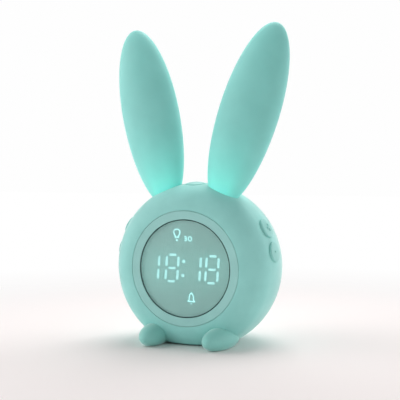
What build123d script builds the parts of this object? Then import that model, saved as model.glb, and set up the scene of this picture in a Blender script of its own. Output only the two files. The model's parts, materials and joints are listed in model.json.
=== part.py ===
from build123d import *

import math
import os
from functools import lru_cache

# Bedside clock and night light: a ball on two feet, with a flat round display in
# front and two long hollow silicone ears that glow from their roots.
#
# Millimetres and degrees. +Z is up, the display faces -Y, and +X is to the right of
# someone who looks at the display. Every piece is built about the centre of the ball
# and is lifted at the end, so that the feet stand on Z = 0 below that centre.

# --- Casing -------------------------------------------------------------------
ball_radius = 53.0
base_cut = 4.7  # how far the whole ball would reach below the table
wall = 2.2
face_reach = 23.4  # from the ball's centre to the flat face
shoulder_radius = 16.3  # rounding from the flat face into the ball
rear_cut = 7.5  # how far the flat rear lies inside the ball's rearmost point
rear_edge_radius = 7.6  # rounding from the ball into the flat rear
base_clearance = 0.8  # underside of the casing above the table
seam_y = 16.0  # plane where the front and rear shells meet
lip_depth = 2.5  # how far the rear shell's lip reaches into the front shell
lip_thickness = 1.2

# --- Clearances ---------------------------------------------------------------
fit_gap = 0.15  # between fixed pieces that locate each other
slide_gap = 0.3  # around every piece that moves
thread_gap = 0.05  # around a screw in its pilot hole

# --- Display stack, from the face inwards --------------------------------------
bezel_width = 5.5
bezel_edge = 0.4
lens_gap = 0.3  # dark line between lens and bezel
lens_recess = 0.2
lens_thickness = 1.6
film_thickness = 0.4
ledge_thickness = 1.6
ledge_width = 2.2  # how far the ledge reaches in behind the lens
well_depth = 8.0
display_board_thickness = 1.6
display_stack_gap = 0.4  # between the well block and the screw bosses around it
display_boss_radius = 2.4
display_lug_count = 4

# --- Digits and icons -----------------------------------------------------------
digits_left_margin = 3.95  # from the lens's edge to the first digit
digits_right_margin = 6.75
digit_spaces = (3.6, 5.85, 2.25)  # between one digit and the next
digit_height = 18.2
bar_thickness = 1.5
bar_gap = 0.35
digit_slant = 4.5
colon_x = -0.6
colon_dot_radius = 0.85
timer_centres = (0.75, 4.1)
timer_inset = 11.7  # middle of the small digits below the lens's top
timer_height = 3.2
timer_width = 2.3
timer_bar = 0.45
lamp_icon_x = -4.95
lamp_icon_inset = 8.3
lamp_icon_radius = 2.3
lamp_neck_width = 2.1
lamp_neck_drop = 4.4  # foot of the neck below the middle of the head
bell_icon_x = 4.9
bell_icon_inset = 12.8  # middle of the crown above the lens's lowest point
bell_icon_radius = 1.8
bell_rim_half_width = 2.4
bell_rim_drop = 2.2
bell_knob_radius = 0.5
bell_clapper_radius = 0.8
window_gap = 0.04  # between a window insert and its film
well_margin = 0.3  # how much wider a light well is than its window
led_length = 1.6
led_width = 0.8
led_height = 0.7

# --- Ears -------------------------------------------------------------------------
ear_root_side = 22.6  # angle from the top of the ball to the ear's root, outwards
ear_root_front = 7.8  # the same, towards the display
ear_splay = 15.9  # outward lean of the ear's axis
ear_lean = 7.5  # backward lean of the ear's axis
ear_rise = 50.85  # along the axis, from the ball to the ear's widest section
ear_half_width = 19.6
ear_half_thickness = 11.8
ear_upper_length = 58.45  # from the widest section to the tip
ear_lower_length = 61.8  # from the widest section to the buried end
ear_wall = 2.2
ear_floor = 2.0
neck_half_width = 8.0
neck_half_thickness = 4.6
neck_wall = 1.8
flange_lip = 1.6
flange_thickness = 1.5
cup_depth = 10.0  # from the ball's surface to the underside of the light cup
cup_margin = 0.8
cup_tab_thickness = 2.5
ear_boss_radius = 2.6
ear_led_size = 3.5
ear_led_height = 1.5
thin_board = 1.2  # thickness of the small circuit boards

# --- Push buttons --------------------------------------------------------------------
side_key_elevation = 19.85  # middle of each side pair, above the ball's centre
side_key_lean = -4.0  # the same, towards the rear when positive
side_key_pitch = 15.5
side_key_radius = 6.2
snooze_elevation = 90.0
snooze_lean = -7.0
snooze_radius = 6.0
key_crown = 2.0  # top of a side key above the ball
snooze_crown = 0.9
key_dome_radius = 20.0
key_edge = 0.8
symbol_height = 0.4
symbol_length = 4.8
symbol_width = 1.1
ring_symbol_width = 0.9
key_travel = 0.8
key_flange_lip = 1.0
key_flange_thickness = 1.0
key_pad_wall = 1.6
key_pad_rim = 0.8
key_stem_radius = 1.6
key_stem_length = 1.3
plunger_radius = 1.4
plunger_length = 2.8
plunger_proud = 1.4
switch_size = 6.0
switch_height = 3.4
key_boss_radius = 2.2
key_board_margin = 0.75

# --- Feet and base -------------------------------------------------------------------
foot_x = 22.5
foot_set_back = 5.4  # centre of the egg form behind the face
foot_z = 5.5  # centre of the egg form above the table
foot_half_width = 8.4
foot_half_length = 19.4
foot_half_height = 7.5
foot_toe_in = 6.0
foot_screw_turn = 2.0  # around the ball's Y axis, further to the side than the foot's centre
foot_screw_tilt = 52.0  # of the screw's axis, from that radial line towards the front
foot_screw_depth = 4.0  # into the foot
foot_pad_radius = 4.2
foot_pad_height = 0.9
base_pad_radius = 14.0
base_pad_y = -2.0
base_pad_thickness = 1.6

# --- Screws --------------------------------------------------------------------------
small_head_radius = 1.9
small_head_height = 1.2
small_shank_radius = 0.9
small_shank_length = 5.0
case_head_radius = 2.4
case_head_height = 1.6
case_shank_radius = 1.25
case_shank_length = 9.0
case_hole_clearance = 0.25
cross_width = 0.45  # arms of the cross recess in each head
cross_length = 2.6
cross_depth = 0.6
case_screw_inset = 9.5  # from the ball's surface to each case screw
case_screw_angle = 44.0  # above and below the horizontal
case_boss_radius = 3.6
case_boss_length = 9.0
well_wall = 1.4
well_radius = 3.4
well_floor = 2.0

# --- Main board and battery ------------------------------------------------------------
main_board_y = 0.0  # front of the main board
main_board_side_inset = 23.0  # from the ball's side to the board's edge
main_board_end_inset = 28.0  # the same, above and below
main_board_thickness = 1.6
main_board_corner = 3.0
board_post_radius = 2.6
board_post_inset = 3.0
tray_height = 4.0  # space for components between the main board and the tray
tray_floor = 1.2
tray_wall = 1.4
tray_wall_height = 5.0
tray_leg_radius = 2.7
battery_side_inset = 5.0  # from the main board's edge to the cell
battery_end_inset = 8.0
battery_thickness = 6.0
battery_gap = 0.3
battery_corner = 2.0
chip_places = (  # x, z, width, height and depth on the main board
    (-9.0, 6.0, 7.0, 7.0, 1.0),  # controller
    (6.0, 8.0, 6.0, 5.0, 0.9),  # memory
    (10.0, -6.0, 5.0, 5.0, 0.9),  # amplifier
    (-2.0, -3.0, 3.2, 1.5, 0.8),  # crystal
)
capacitor_places = ((18.0, 6.0), (18.0, 0.0), (-18.0, 8.0))
capacitor_radius = 2.0
capacitor_height = 3.2

# --- Speaker -----------------------------------------------------------------------------
speaker_z = 8.0
speaker_radius = 14.0
gasket_thickness = 0.8
gasket_width = 3.2
speaker_flange_thickness = 1.0
basket_radius = 11.6
basket_depth = 4.2
basket_wall = 0.8
magnet_radius = 8.0
magnet_height = 4.0
cone_throat_radius = 4.0
clamp_thickness = 1.2
clamp_overlap = 1.8
speaker_boss_offset = 3.8
speaker_boss_radius = 2.4
speaker_screw_length = 3.0
speaker_screw_angles = (90, 210, 330)
grille_radius = 10.2
grille_pitch = 3.0
grille_hole_radius = 0.9

# --- Charging socket -----------------------------------------------------------------------
usb_z = -15.0
plug_recess_width = 12.6
plug_recess_height = 7.6
plug_recess_depth = 5.2
plug_recess_corner = 2.0
recess_wall = 1.4
socket_width = 8.94
socket_height = 3.16
socket_length = 7.3
socket_sheet = 0.3
socket_back_wall = 1.0
socket_tongue_width = 6.6
socket_tongue_thickness = 0.7
socket_tongue_recess = 2.0  # end of the tongue inside the socket's mouth
usb_board_width = 20.0
usb_board_length = 11.5
shelf_width = 4.2
shelf_height = 4.0
usb_screw_inset = 2.6

# --- Leads and plugs -------------------------------------------------------------------------
lead_radius = 0.55
lead_pitch = 1.4
thick_lead_radius = 0.7
lead_exit = 3.0  # straight run out of a board
bend_share = 0.45  # of the shorter run beside each corner that its bend takes
lead_socket_width = 6.0
lead_socket_height = 4.0
lead_socket_depth = 3.4
lead_socket_drop = 4.0  # middle of the sockets above the main board's lower edge
battery_lead_x = -15.0
speaker_lead_x = 5.0
usb_lead_x = 15.0
usb_lead_end_x = 8.0
lead_drop = 6.0  # below the main board, where the leads pass under it
battery_lead_rise = 3.2  # behind the cell
battery_lead_inset = 5.0  # inside the cell's lower edge
speaker_lead_y = 22.0
speaker_lead_reach = 10.7  # from the speaker's axis
usb_lead_y = 20.0
ear_lead_rise = 5.0  # above the main board
header_width = 20.0
header_height = 2.5
header_rise = 7.0  # above the main board's lower edge

# --- Worked-out sizes ------------------------------------------------------------------------
face_y = -face_reach
face_cut = ball_radius - face_reach
rear_y = ball_radius - rear_cut
centre_height = ball_radius - base_cut
table_z = -centre_height
base_z = table_z + base_clearance
floor_z = base_z + wall
face_radius = math.sqrt(face_cut * (2 * ball_radius - face_cut - 2 * shoulder_radius))
lens_radius = face_radius - bezel_width - lens_gap
digits_span = 2 * lens_radius - digits_left_margin - digits_right_margin
digit_width = (digits_span - sum(digit_spaces)) / (len(digit_spaces) + 1)
timer_z = lens_radius - timer_inset
lamp_icon_z = lens_radius - lamp_icon_inset
bell_icon_z = bell_icon_inset - lens_radius
foot_y = face_y + foot_set_back
case_screw_radius = ball_radius - case_screw_inset
lens_front = face_y + lens_recess
film_front = lens_front + lens_thickness
ledge_front = film_front + film_thickness
ledge_back = ledge_front + ledge_thickness
ledge_radius = lens_radius - ledge_width
display_board_front = ledge_back + well_depth
display_board_back = display_board_front + display_board_thickness
well_block_radius = lens_radius + display_stack_gap
display_boss_reach = well_block_radius + display_boss_radius + display_stack_gap
main_board_width = 2 * (ball_radius - main_board_side_inset)
main_board_height = 2 * (ball_radius - main_board_end_inset)
main_board_back = main_board_y + main_board_thickness
battery_width = main_board_width - 2 * battery_side_inset
battery_height = main_board_height - 2 * battery_end_inset
lead_low_z = -main_board_height / 2 - lead_drop
ear_lead_z = main_board_height / 2 + ear_lead_rise
header_z = header_rise - main_board_height / 2
tray_front = main_board_back + tray_height
tray_back = tray_front + tray_floor
rear_inner = rear_y - wall
span = 4 * ball_radius  # longer than anything it cuts
past = 1.0  # how far a cut runs beyond what it opens


# --- Plain building blocks --------------------------------------------------------------------
def y_slab(low, high):
    """All space between two planes that face along Y."""
    return Pos(0, (low + high) / 2, 0) * Box(span, high - low, span)


def z_slab(low, high):
    """All space between two planes that face along Z."""
    return Pos(0, 0, (low + high) / 2) * Box(span, span, high - low)


def y_disc(radius, low, high, x=0.0, z=0.0):
    """Round disc or pin along Y."""
    return Pos(x, (low + high) / 2, z) * Rot(90, 0, 0) * Cylinder(radius, high - low)


def y_prism(sketch, low, high):
    """Outline drawn in X and Z, given a thickness along Y."""
    plane = Plane(origin=(0, high, 0), x_dir=(1, 0, 0), z_dir=(0, -1, 0))
    return extrude(plane * sketch, high - low)


def pin(radius, low, high, x=0.0, y=0.0):
    """Round pin along Z."""
    return Pos(x, y, (low + high) / 2) * Cylinder(radius, high - low)


def block(width, depth, low, high, x=0.0, y=0.0):
    """Rectangular block between two heights."""
    return Pos(x, y, (low + high) / 2) * Box(width, depth, high - low)


def screw(head_radius, head_height, shank_radius, length):
    """Pan-head screw that looks up: its head sits on Z = 0 and its shank goes down."""
    body = pin(head_radius, 0, head_height) + pin(shank_radius, -length, 0)
    for width, depth in ((cross_length, cross_width), (cross_width, cross_length)):
        body -= block(width, depth, head_height - cross_depth, head_height + past)
    return body


def small_screw(length=small_shank_length):
    return screw(small_head_radius, small_head_height, small_shank_radius, length)


def mirrored(shape):
    """The same piece on the other side of the clock."""
    return mirror(shape, about=Plane.YZ)


def group(shapes):
    """Separate solids that share one node."""
    solids = []
    for shape in shapes:
        solids.extend(shape.solids())
    return Compound(solids)


def rear_facing(x, y, z):
    """Place for a screw whose head looks to the rear."""
    return Plane(origin=(x, y, z), x_dir=(1, 0, 0), z_dir=(0, 1, 0)).location


# --- Ball -----------------------------------------------------------------------------------
@lru_cache(maxsize=None)
def ball(inset=0.0):
    """The ball with its flat face and rear, every surface moved in by inset."""
    rear_flat = math.sqrt(rear_cut * (2 * ball_radius - rear_cut - 2 * rear_edge_radius))
    radius = ball_radius - inset
    front_centre = Vector(face_radius, face_y + shoulder_radius)
    rear_centre = Vector(rear_flat, rear_y - rear_edge_radius)
    front_arc = shoulder_radius - inset
    rear_arc = rear_edge_radius - inset
    front_start = front_centre + Vector(0, -front_arc)
    front_end = front_centre.normalized() * radius
    front_middle = front_centre + (front_centre.normalized() + Vector(0, -1)).normalized() * front_arc
    rear_start = rear_centre.normalized() * radius
    rear_end = rear_centre + Vector(0, rear_arc)
    rear_middle = rear_centre + (rear_centre.normalized() + Vector(0, 1)).normalized() * rear_arc
    outline = [
        Line((0, front_start.Y), front_start),
        ThreePointArc(front_start, front_middle, front_end),
        ThreePointArc(front_end, (radius, 0), rear_start),
        ThreePointArc(rear_start, rear_middle, rear_end),
        Line(rear_end, (0, rear_end.Y)),
        Line((0, rear_end.Y), (0, front_start.Y)),
    ]
    return revolve(make_face(outline), axis=Axis.Y)


@lru_cache(maxsize=None)
def casing():
    """Hollow ball with a flat underside, before it is parted at the seam."""
    outer = ball() - z_slab(base_z - span, base_z)
    inner = ball(wall) - z_slab(floor_z - span, floor_z)
    return outer - inner


def inner_depth(reach):
    """How far the casing's inner surface lies below its top at a distance from a radial axis."""
    return ball_radius - math.sqrt((ball_radius - wall) ** 2 - reach**2)


# --- Case screws ------------------------------------------------------------------------------
def case_screw_spots():
    up = math.radians(case_screw_angle)
    x = case_screw_radius * math.cos(up)
    z = case_screw_radius * math.sin(up)
    return [(x, z), (-x, z), (x, -z), (-x, -z)]


def case_boss(x, z, low, high, grow=0.0):
    """Screw boss with a web that joins it to the wall outside it."""
    radius = case_boss_radius + grow
    web_length = ball_radius - case_screw_radius
    middle = 1 + web_length / 2 / case_screw_radius
    web = Box(web_length, high - low, 2 * radius)
    turn = -math.degrees(math.atan2(z, x))
    placed_web = Pos(x * middle, (low + high) / 2, z * middle) * Rot(0, turn, 0) * web
    return y_disc(radius, low, high, x, z) + placed_web


def case_well(x, z):
    """Tube that leads each case screw in from the rear."""
    return y_disc(well_radius + well_wall, seam_y, rear_y, x, z)


def case_screws():
    seat = seam_y + well_floor
    one = screw(case_head_radius, case_head_height, case_shank_radius, case_shank_length)
    return group([rear_facing(x, seat, z) * one for x, z in case_screw_spots()])


# --- Display ----------------------------------------------------------------------------------
def slanted(points, x_middle):
    lean = math.tan(math.radians(digit_slant))
    return [(x_middle + x + z * lean, z) for x, z in points]


def bar(x, z, length, thickness, upright, grow=0.0):
    """Corner points of one pointed bar of a digit."""
    half = length / 2 + grow
    side = thickness / 2 + grow
    tip = half - side
    points = [(-half, 0), (-tip, side), (tip, side), (half, 0), (tip, -side), (-tip, -side)]
    if upright:
        points = [(b, a) for a, b in points]
    return [(x + a, z + b) for a, b in points]


def digit_bars(width, height, thickness, gap, grow=0.0):
    """The seven bars of one digit about its own centre."""
    across = width / 2 - thickness / 2
    top = height / 2 - thickness / 2
    flat = 2 * across - 2 * gap
    tall = top - 2 * gap
    bars = [bar(0, level, flat, thickness, False, grow) for level in (top, 0, -top)]
    for side in (-across, across):
        for level in (top / 2, -top / 2):
            bars.append(bar(side, level, tall, thickness, True, grow))
    return bars


def face_polygon(points):
    return make_face(Polyline(*points, close=True))


def digit_centres():
    """Middle of each digit, from the left."""
    centres = [digits_left_margin + digit_width / 2 - lens_radius]
    for space in digit_spaces:
        centres.append(centres[-1] + digit_width + space)
    return centres


@lru_cache(maxsize=None)
def digit_windows(grow=0.0):
    """The seven slanted bars of each of the four digits."""
    windows = []
    for centre in digit_centres():
        for points in digit_bars(digit_width, digit_height, bar_thickness, bar_gap, grow):
            windows.append(face_polygon(slanted(points, centre)))
    return windows


def colon_spots():
    return [slanted([(0, side * digit_height / 4)], colon_x)[0] for side in (1, -1)]


def colon_windows(grow=0.0):
    return [Pos(x, z) * Circle(colon_dot_radius + grow) for x, z in colon_spots()]


@lru_cache(maxsize=None)
def timer_windows(grow=0.0):
    """The bars of the two small digits, which stand too close together to grow."""
    windows = []
    for centre in timer_centres:
        for points in digit_bars(timer_width, timer_height, timer_bar, window_gap, min(grow, 0.0)):
            windows.append(face_polygon([(centre + x, timer_z + z) for x, z in points]))
    return windows


def lamp_icon(grow=0.0):
    """Light bulb: a round head on a short neck."""
    head = Circle(lamp_icon_radius + grow)
    drop = lamp_neck_drop + grow
    stem = Pos(0, -drop / 2) * Rectangle(lamp_neck_width + 2 * grow, drop)
    return Pos(lamp_icon_x, lamp_icon_z) * (head + stem)


def bell_icon(grow=0.0):
    """Bell: a knob and a round crown on a flared rim, with the clapper below."""
    radius = bell_icon_radius + grow
    rim = bell_rim_half_width + grow
    drop = bell_rim_drop + grow
    skirt = face_polygon([(-radius, 0), (radius, 0), (rim, -drop), (-rim, -drop)])
    knob = Pos(0, bell_icon_radius) * Circle(bell_knob_radius + grow)
    clapper = Pos(0, -bell_rim_drop) * Circle(bell_clapper_radius + grow)
    return Pos(bell_icon_x, bell_icon_z) * (Circle(radius) + skirt + knob + clapper)


@lru_cache(maxsize=None)
def window_shapes(grow=0.0):
    """Every lit opening of the display, as flat outlines in X and Z."""
    icons = [lamp_icon(grow), bell_icon(grow)]
    return digit_windows(grow) + colon_windows(grow) + timer_windows(grow) + icons


def bezel_ring():
    """Ring between the lens and the shoulder of the casing."""
    ring = y_disc(face_radius, face_y, ledge_front)
    ring -= y_disc(lens_radius + lens_gap, face_y - past, ledge_front + past)
    front_edges = ring.edges().filter_by(GeomType.CIRCLE).group_by(Axis.Y)[0]
    return fillet(front_edges, bezel_edge)


def display_lens():
    lens = y_disc(lens_radius, lens_front, film_front)
    front_edges = lens.edges().filter_by(GeomType.CIRCLE).group_by(Axis.Y)[0]
    return chamfer(front_edges, bezel_edge / 2)


def mask_film():
    """Printed film behind the lens, open where light comes through."""
    film = y_disc(lens_radius, film_front, ledge_front)
    return film - [y_prism(shape, film_front - past, ledge_front + past) for shape in window_shapes()]


def window_inserts():
    """Milky patches that fill the openings of the film."""
    shapes = window_shapes(-window_gap)
    return group([y_prism(shape, film_front, ledge_front) for shape in shapes])


def light_wells():
    """White block that keeps the light of each diode to its own window."""
    body = y_disc(well_block_radius, ledge_back, display_board_front)
    low = ledge_back - past
    high = display_board_front + past
    wells = [y_prism(shape, low, high) for shape in window_shapes(well_margin)]
    pocket = Rectangle(timer_width + well_margin, timer_height)
    wells += [y_prism(Pos(centre, timer_z) * pocket, low, high) for centre in timer_centres]
    return body - wells


def display_lug_spots():
    turn = 2 * math.pi / display_lug_count
    reach = display_boss_reach
    return [
        (reach * math.cos(i * turn), reach * math.sin(i * turn))
        for i in range(display_lug_count)
    ]


def display_board():
    low = display_board_front
    high = display_board_back
    edge = well_block_radius / display_boss_reach
    board = y_disc(well_block_radius, low, high)
    for x, z in display_lug_spots():
        board += y_disc(display_boss_radius, low, high, x, z)
        board += y_disc(display_boss_radius, low, high, edge * x, edge * z)
    hole = small_shank_radius + thread_gap
    return board - [y_disc(hole, low - past, high + past, x, z) for x, z in display_lug_spots()]


def display_leds():
    """One diode behind each bar, dot and icon, and one behind each small digit."""
    spots = [window.center() for window in digit_windows() + [lamp_icon(), bell_icon()]]
    spots += [Vector(x, z) for x, z in colon_spots()]
    spots += [Vector(centre, timer_z) for centre in timer_centres]
    chip = Box(led_width, led_height, led_length)
    middle = display_board_front - led_height / 2
    return group([Pos(spot.X, middle, spot.Y) * chip for spot in spots])


def display_screws():
    place = [rear_facing(x, display_board_back, z) for x, z in display_lug_spots()]
    return group([spot * small_screw() for spot in place])


# --- Ears -------------------------------------------------------------------------------------
def ear_root():
    """Place where the right ear's axis meets the ball, with Z along that axis."""
    side = math.radians(ear_root_side)
    front = math.radians(ear_root_front)
    x = ball_radius * math.cos(front) * math.sin(side)
    y = -ball_radius * math.sin(front)
    z = ball_radius * math.cos(front) * math.cos(side)
    return Pos(x, y, z) * Rot(0, ear_splay, 0) * Rot(-ear_lean, 0, 0)


def half_egg(width, thickness, length):
    """Upper half of an ellipsoid on its widest section."""
    dome = Sphere(width, arc_size1=0, arc_size2=90, align=None)
    return scale(dome, by=(1, thickness / width, length / width), about=(0, 0, 0))


@lru_cache(maxsize=None)
def ear_form(inset=0.0):
    """Long rounded ear, widest above its middle, with every surface moved in by inset."""
    width = ear_half_width - inset
    thickness = ear_half_thickness - inset
    upper = half_egg(width, thickness, ear_upper_length - inset)
    lower = Rot(180, 0, 0) * half_egg(width, thickness, ear_lower_length - inset)
    return ear_root() * Pos(0, 0, ear_rise) * (upper + lower)


def neck(grow, low, high):
    """Oval column along the ear's axis, through the casing."""
    outline = Ellipse(neck_half_width + grow, neck_half_thickness + grow)
    return ear_root() * (Pos(0, 0, low) * extrude(outline, high - low))


def right_ear():
    """Hollow silicone ear, with a neck through the casing and a flange inside it."""
    skin = ear_form() - ball()
    stem = neck(0, -cup_depth, ear_wall) - ball(wall)
    lip = (neck(flange_lip, -cup_depth, 0) & ball(wall)) - ball(wall + flange_thickness)
    room = ear_form(ear_wall) - ball(-ear_floor)
    bore = neck(-neck_wall, -cup_depth, cup_depth)
    return skin + stem + lip - room - bore


def ear_screw_spots():
    """Outer and rear screw of a light cup, in the ear's own place."""
    clear = flange_lip + cup_margin + ear_boss_radius + fit_gap
    return [(neck_half_width + clear, 0), (0, neck_half_thickness + clear)]


def cup_outline(low, high):
    """Oval middle that the light cup and its board share."""
    grow = flange_lip + cup_margin
    middle = Ellipse(neck_half_width + grow, neck_half_thickness + grow)
    return Pos(0, 0, low) * extrude(middle, high - low)


def ear_tabs(low, high):
    """Two screw tabs that reach out from the middle of a light cup."""
    width = 2 * ear_boss_radius
    tabs = []
    for x, y in ear_screw_spots():
        tabs.append(pin(ear_boss_radius, low, high, x, y))
        tabs.append(block(max(x, width), max(y, width), low, high, x / 2, y / 2))
    return tabs[0] + tabs[1:]


def ear_screw_holes(low, high):
    hole = small_shank_radius + thread_gap
    return [pin(hole, low, high, x, y) for x, y in ear_screw_spots()]


def right_ear_cup():
    """White cup that clamps the ear's flange and sends the light up into the ear."""
    body = ear_root() * cup_outline(-cup_depth, 0) & ball(wall + flange_thickness)
    tabs = ear_tabs(-cup_depth, -cup_depth + cup_tab_thickness)
    tabs -= ear_screw_holes(-cup_depth - past, 0)
    return body + ear_root() * tabs - neck(-neck_wall, -cup_depth - past, past)


def ear_bosses():
    """Bosses in the front shell that the light cup is screwed to."""
    low = -cup_depth + cup_tab_thickness
    return [ear_root() * pin(ear_boss_radius, low, cup_depth, x, y) for x, y in ear_screw_spots()]


def ear_pilot_holes():
    low = -cup_depth + cup_tab_thickness - past
    high = small_shank_length - cup_depth - thin_board + thread_gap
    hole = small_shank_radius + thread_gap
    return [ear_root() * pin(hole, low, high, x, y) for x, y in ear_screw_spots()]


def right_ear_board():
    low = -cup_depth - thin_board
    board = cup_outline(low, -cup_depth) + ear_tabs(low, -cup_depth)
    return ear_root() * (board - ear_screw_holes(low - past, -cup_depth + past))


def ear_leds():
    """Two square lamps under each ear."""
    spacing = neck_half_width - neck_wall
    middle = -cup_depth + ear_led_height / 2
    lamps = []
    for side in (-0.5, 0.5):
        lamp = Box(ear_led_size, ear_led_size, ear_led_height)
        lamps.append(ear_root() * Pos(side * spacing, 0, middle) * lamp)
    return group(lamps + [mirrored(lamp) for lamp in lamps])


def ear_screws():
    upside_down = Rot(180, 0, 0)
    screws = []
    for x, y in ear_screw_spots():
        screws.append(ear_root() * Pos(x, y, -cup_depth - thin_board) * upside_down * small_screw())
    return group(screws + [mirrored(one) for one in screws])


# --- Push buttons -------------------------------------------------------------------------------
class KeySet:
    """One or two push buttons that move along one radial line of the ball."""

    def __init__(self, up, back, radius, pitch, crown):
        # The angles are in radians: up from level, and back from the ball's middle.
        self.normal = Vector(math.cos(back) * math.cos(up), math.sin(back), math.cos(back) * math.sin(up))
        self.along = Vector(-math.sin(up), 0, math.cos(up))
        frame = Plane(origin=self.normal * ball_radius, x_dir=self.along, z_dir=self.normal)
        self.place = frame.location
        self.radius = radius
        self.crown = crown
        self.offsets = [pitch / 2, -pitch / 2] if pitch else [0.0]
        self.pad_radius = radius + slide_gap + key_pad_wall
        self.flange_radius = radius + key_flange_lip
        self.pad_under = -inner_depth(pitch / 2 + self.pad_radius) - key_pad_rim
        self.flange_top = self.pad_under - slide_gap
        self.flange_under = self.flange_top - key_flange_thickness
        self.stem_under = self.flange_under - key_stem_length
        self.switch_top = self.stem_under - plunger_proud
        self.board_top = self.switch_top - switch_height
        self.board_under = self.board_top - thin_board
        clear = self.flange_radius + key_boss_radius + slide_gap
        switch_side = switch_size / 2 + key_boss_radius
        nearest = 0.0 if pitch else switch_side
        self.boss_reach = math.sqrt(max(clear**2 - (pitch / 2) ** 2, nearest**2)) + fit_gap

    def key_centre_line(self, offset):
        """Direction from the ball's centre through the middle of one key."""
        return (self.normal * ball_radius + self.along * offset).normalized()

    def crown_ball(self, offset, grow=0.0):
        """Sphere whose cap is the crown of one key."""
        centre = self.key_centre_line(offset) * (ball_radius + self.crown - key_dome_radius)
        turned = Plane(origin=centre, x_dir=-self.normal, z_dir=self.along)
        return turned.location * Sphere(key_dome_radius + grow)

    def rim_edge(self, shape):
        """The edge that lies furthest out along the keys' radial line."""
        return max(shape.edges(), key=lambda edge: min(self.normal.dot(edge @ t) for t in (0, 0.5)))

    def cap(self, index, symbol=()):
        """Button with its crown, flange, stem and raised symbol."""
        offset = self.offsets[index]
        shaft = self.place * pin(self.radius, self.flange_top, 2 * self.crown, offset)
        top = shaft & self.crown_ball(offset)
        top = fillet(self.rim_edge(top), key_edge)
        flange = pin(self.flange_radius, self.flange_under, self.flange_top, offset)
        stem = pin(key_stem_radius, self.stem_under, self.flange_under, offset)
        body = top + self.place * (flange + stem)
        raised = self.crown_ball(offset, symbol_height)
        for shape in symbol:
            body += (self.place * Pos(offset, 0, 0) * shape) & raised
        return body

    def plunger(self, index):
        low = self.stem_under - plunger_length
        return self.place * pin(plunger_radius, low, self.stem_under, self.offsets[index])

    def switches(self):
        """Switch bodies, each with a bore that its plunger moves in."""
        bodies = []
        bore_under = self.stem_under - plunger_length - key_travel - slide_gap / 2
        for offset in self.offsets:
            body = block(switch_size, switch_size, self.board_top, self.switch_top, offset)
            bore = pin(plunger_radius + slide_gap, bore_under, self.switch_top + past, offset)
            bodies.append(self.place * (body - bore))
        return bodies

    def screw_spots(self):
        return [(0, self.boss_reach), (0, -self.boss_reach)]

    def board(self):
        length = 2 * (self.offsets[0] + switch_size / 2 + key_board_margin)
        width = 2 * (self.boss_reach + small_head_radius + key_board_margin)
        board = block(length, width, self.board_under, self.board_top)
        hole = small_shank_radius + thread_gap
        for x, y in self.screw_spots():
            board -= pin(hole, self.board_under - past, self.board_top + past, x, y)
        return self.place * board

    def screws(self):
        turned = Rot(180, 0, 0) * small_screw()
        return [self.place * Pos(x, y, self.board_under) * turned for x, y in self.screw_spots()]

    def shell_added(self):
        """Guide pads and board bosses that the front shell carries."""
        added = [pin(self.pad_radius, self.pad_under, self.crown, offset) for offset in self.offsets]
        added += [pin(key_boss_radius, self.board_top, self.crown, x, y) for x, y in self.screw_spots()]
        return [self.place * shape for shape in added]

    def shell_cut(self):
        """Key holes and screw pilots in the front shell."""
        hole = self.radius + slide_gap
        low = self.pad_under - past
        high = 2 * self.crown + past
        holes = [pin(hole, low, high, offset) for offset in self.offsets]
        # Each flange keeps its own room where a boss or the next pad stands close.
        room = self.flange_radius + slide_gap
        holes += [pin(room, self.board_top, self.pad_under, offset) for offset in self.offsets]
        pilot = small_shank_radius + thread_gap
        top = self.board_under + small_shank_length + thread_gap
        holes += [pin(pilot, self.board_top - past, top, x, y) for x, y in self.screw_spots()]
        return [self.place * shape for shape in holes]


side_keys = KeySet(
    math.radians(side_key_elevation),
    math.radians(side_key_lean),
    side_key_radius,
    side_key_pitch,
    key_crown,
)
snooze_keys = KeySet(
    math.radians(snooze_elevation),
    math.radians(snooze_lean),
    snooze_radius,
    0.0,
    snooze_crown,
)


def symbol_column(sketch):
    """Outline of a raised symbol, drawn out through the crown of a key."""
    return Pos(0, 0, -wall / 2) * extrude(sketch, key_dome_radius)


def plus_symbol():
    upright = Rectangle(symbol_length, symbol_width)
    across = Rectangle(symbol_width, symbol_length)
    return [symbol_column(upright + across)]


def minus_symbol():
    return [symbol_column(Rectangle(symbol_width, symbol_length))]


def ring_symbol():
    radius = symbol_length / 2
    return [symbol_column(Circle(radius) - Circle(radius - ring_symbol_width))]


def dot_symbol():
    return [symbol_column(Circle(symbol_width))]


def tact_switches():
    bodies = side_keys.switches()
    return group(snooze_keys.switches() + bodies + [mirrored(body) for body in bodies])


def key_screws():
    side = side_keys.screws()
    return group(snooze_keys.screws() + side + [mirrored(one) for one in side])


# --- Feet and base ------------------------------------------------------------------------------
def foot_screw_place():
    """Place on the rounded shoulder, with Z square to it and out through the right foot."""
    turn = math.atan2(foot_x, centre_height - foot_z) + math.radians(foot_screw_turn)
    tilt = math.radians(foot_screw_tilt)
    radial = Vector(math.sin(turn), 0, -math.cos(turn))
    out = radial * math.cos(tilt) - Vector(0, math.sin(tilt), 0)
    spot = radial * face_radius + Vector(0, face_y + shoulder_radius, 0) + out * shoulder_radius
    return Plane(origin=spot, z_dir=out).location


def foot_form():
    egg = Sphere(foot_half_width)
    stretch = (1, foot_half_length / foot_half_width, foot_half_height / foot_half_width)
    egg = scale(egg, by=stretch, about=(0, 0, 0))
    return Pos(foot_x, foot_y, table_z + foot_z) * Rot(0, 0, -foot_toe_in) * egg


def foot_screw_seat():
    """Depth below the shoulder at which a foot screw's head sits."""
    inner = shoulder_radius - wall
    return shoulder_radius - math.sqrt(inner**2 - foot_pad_radius**2) + foot_pad_height


def foot_pilot():
    hole = small_shank_radius + thread_gap
    return foot_screw_place() * pin(hole, -foot_screw_seat() - past, foot_screw_depth + thread_gap)


def right_foot():
    return foot_form() - ball() - z_slab(table_z - span, table_z) - foot_pilot()


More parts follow.
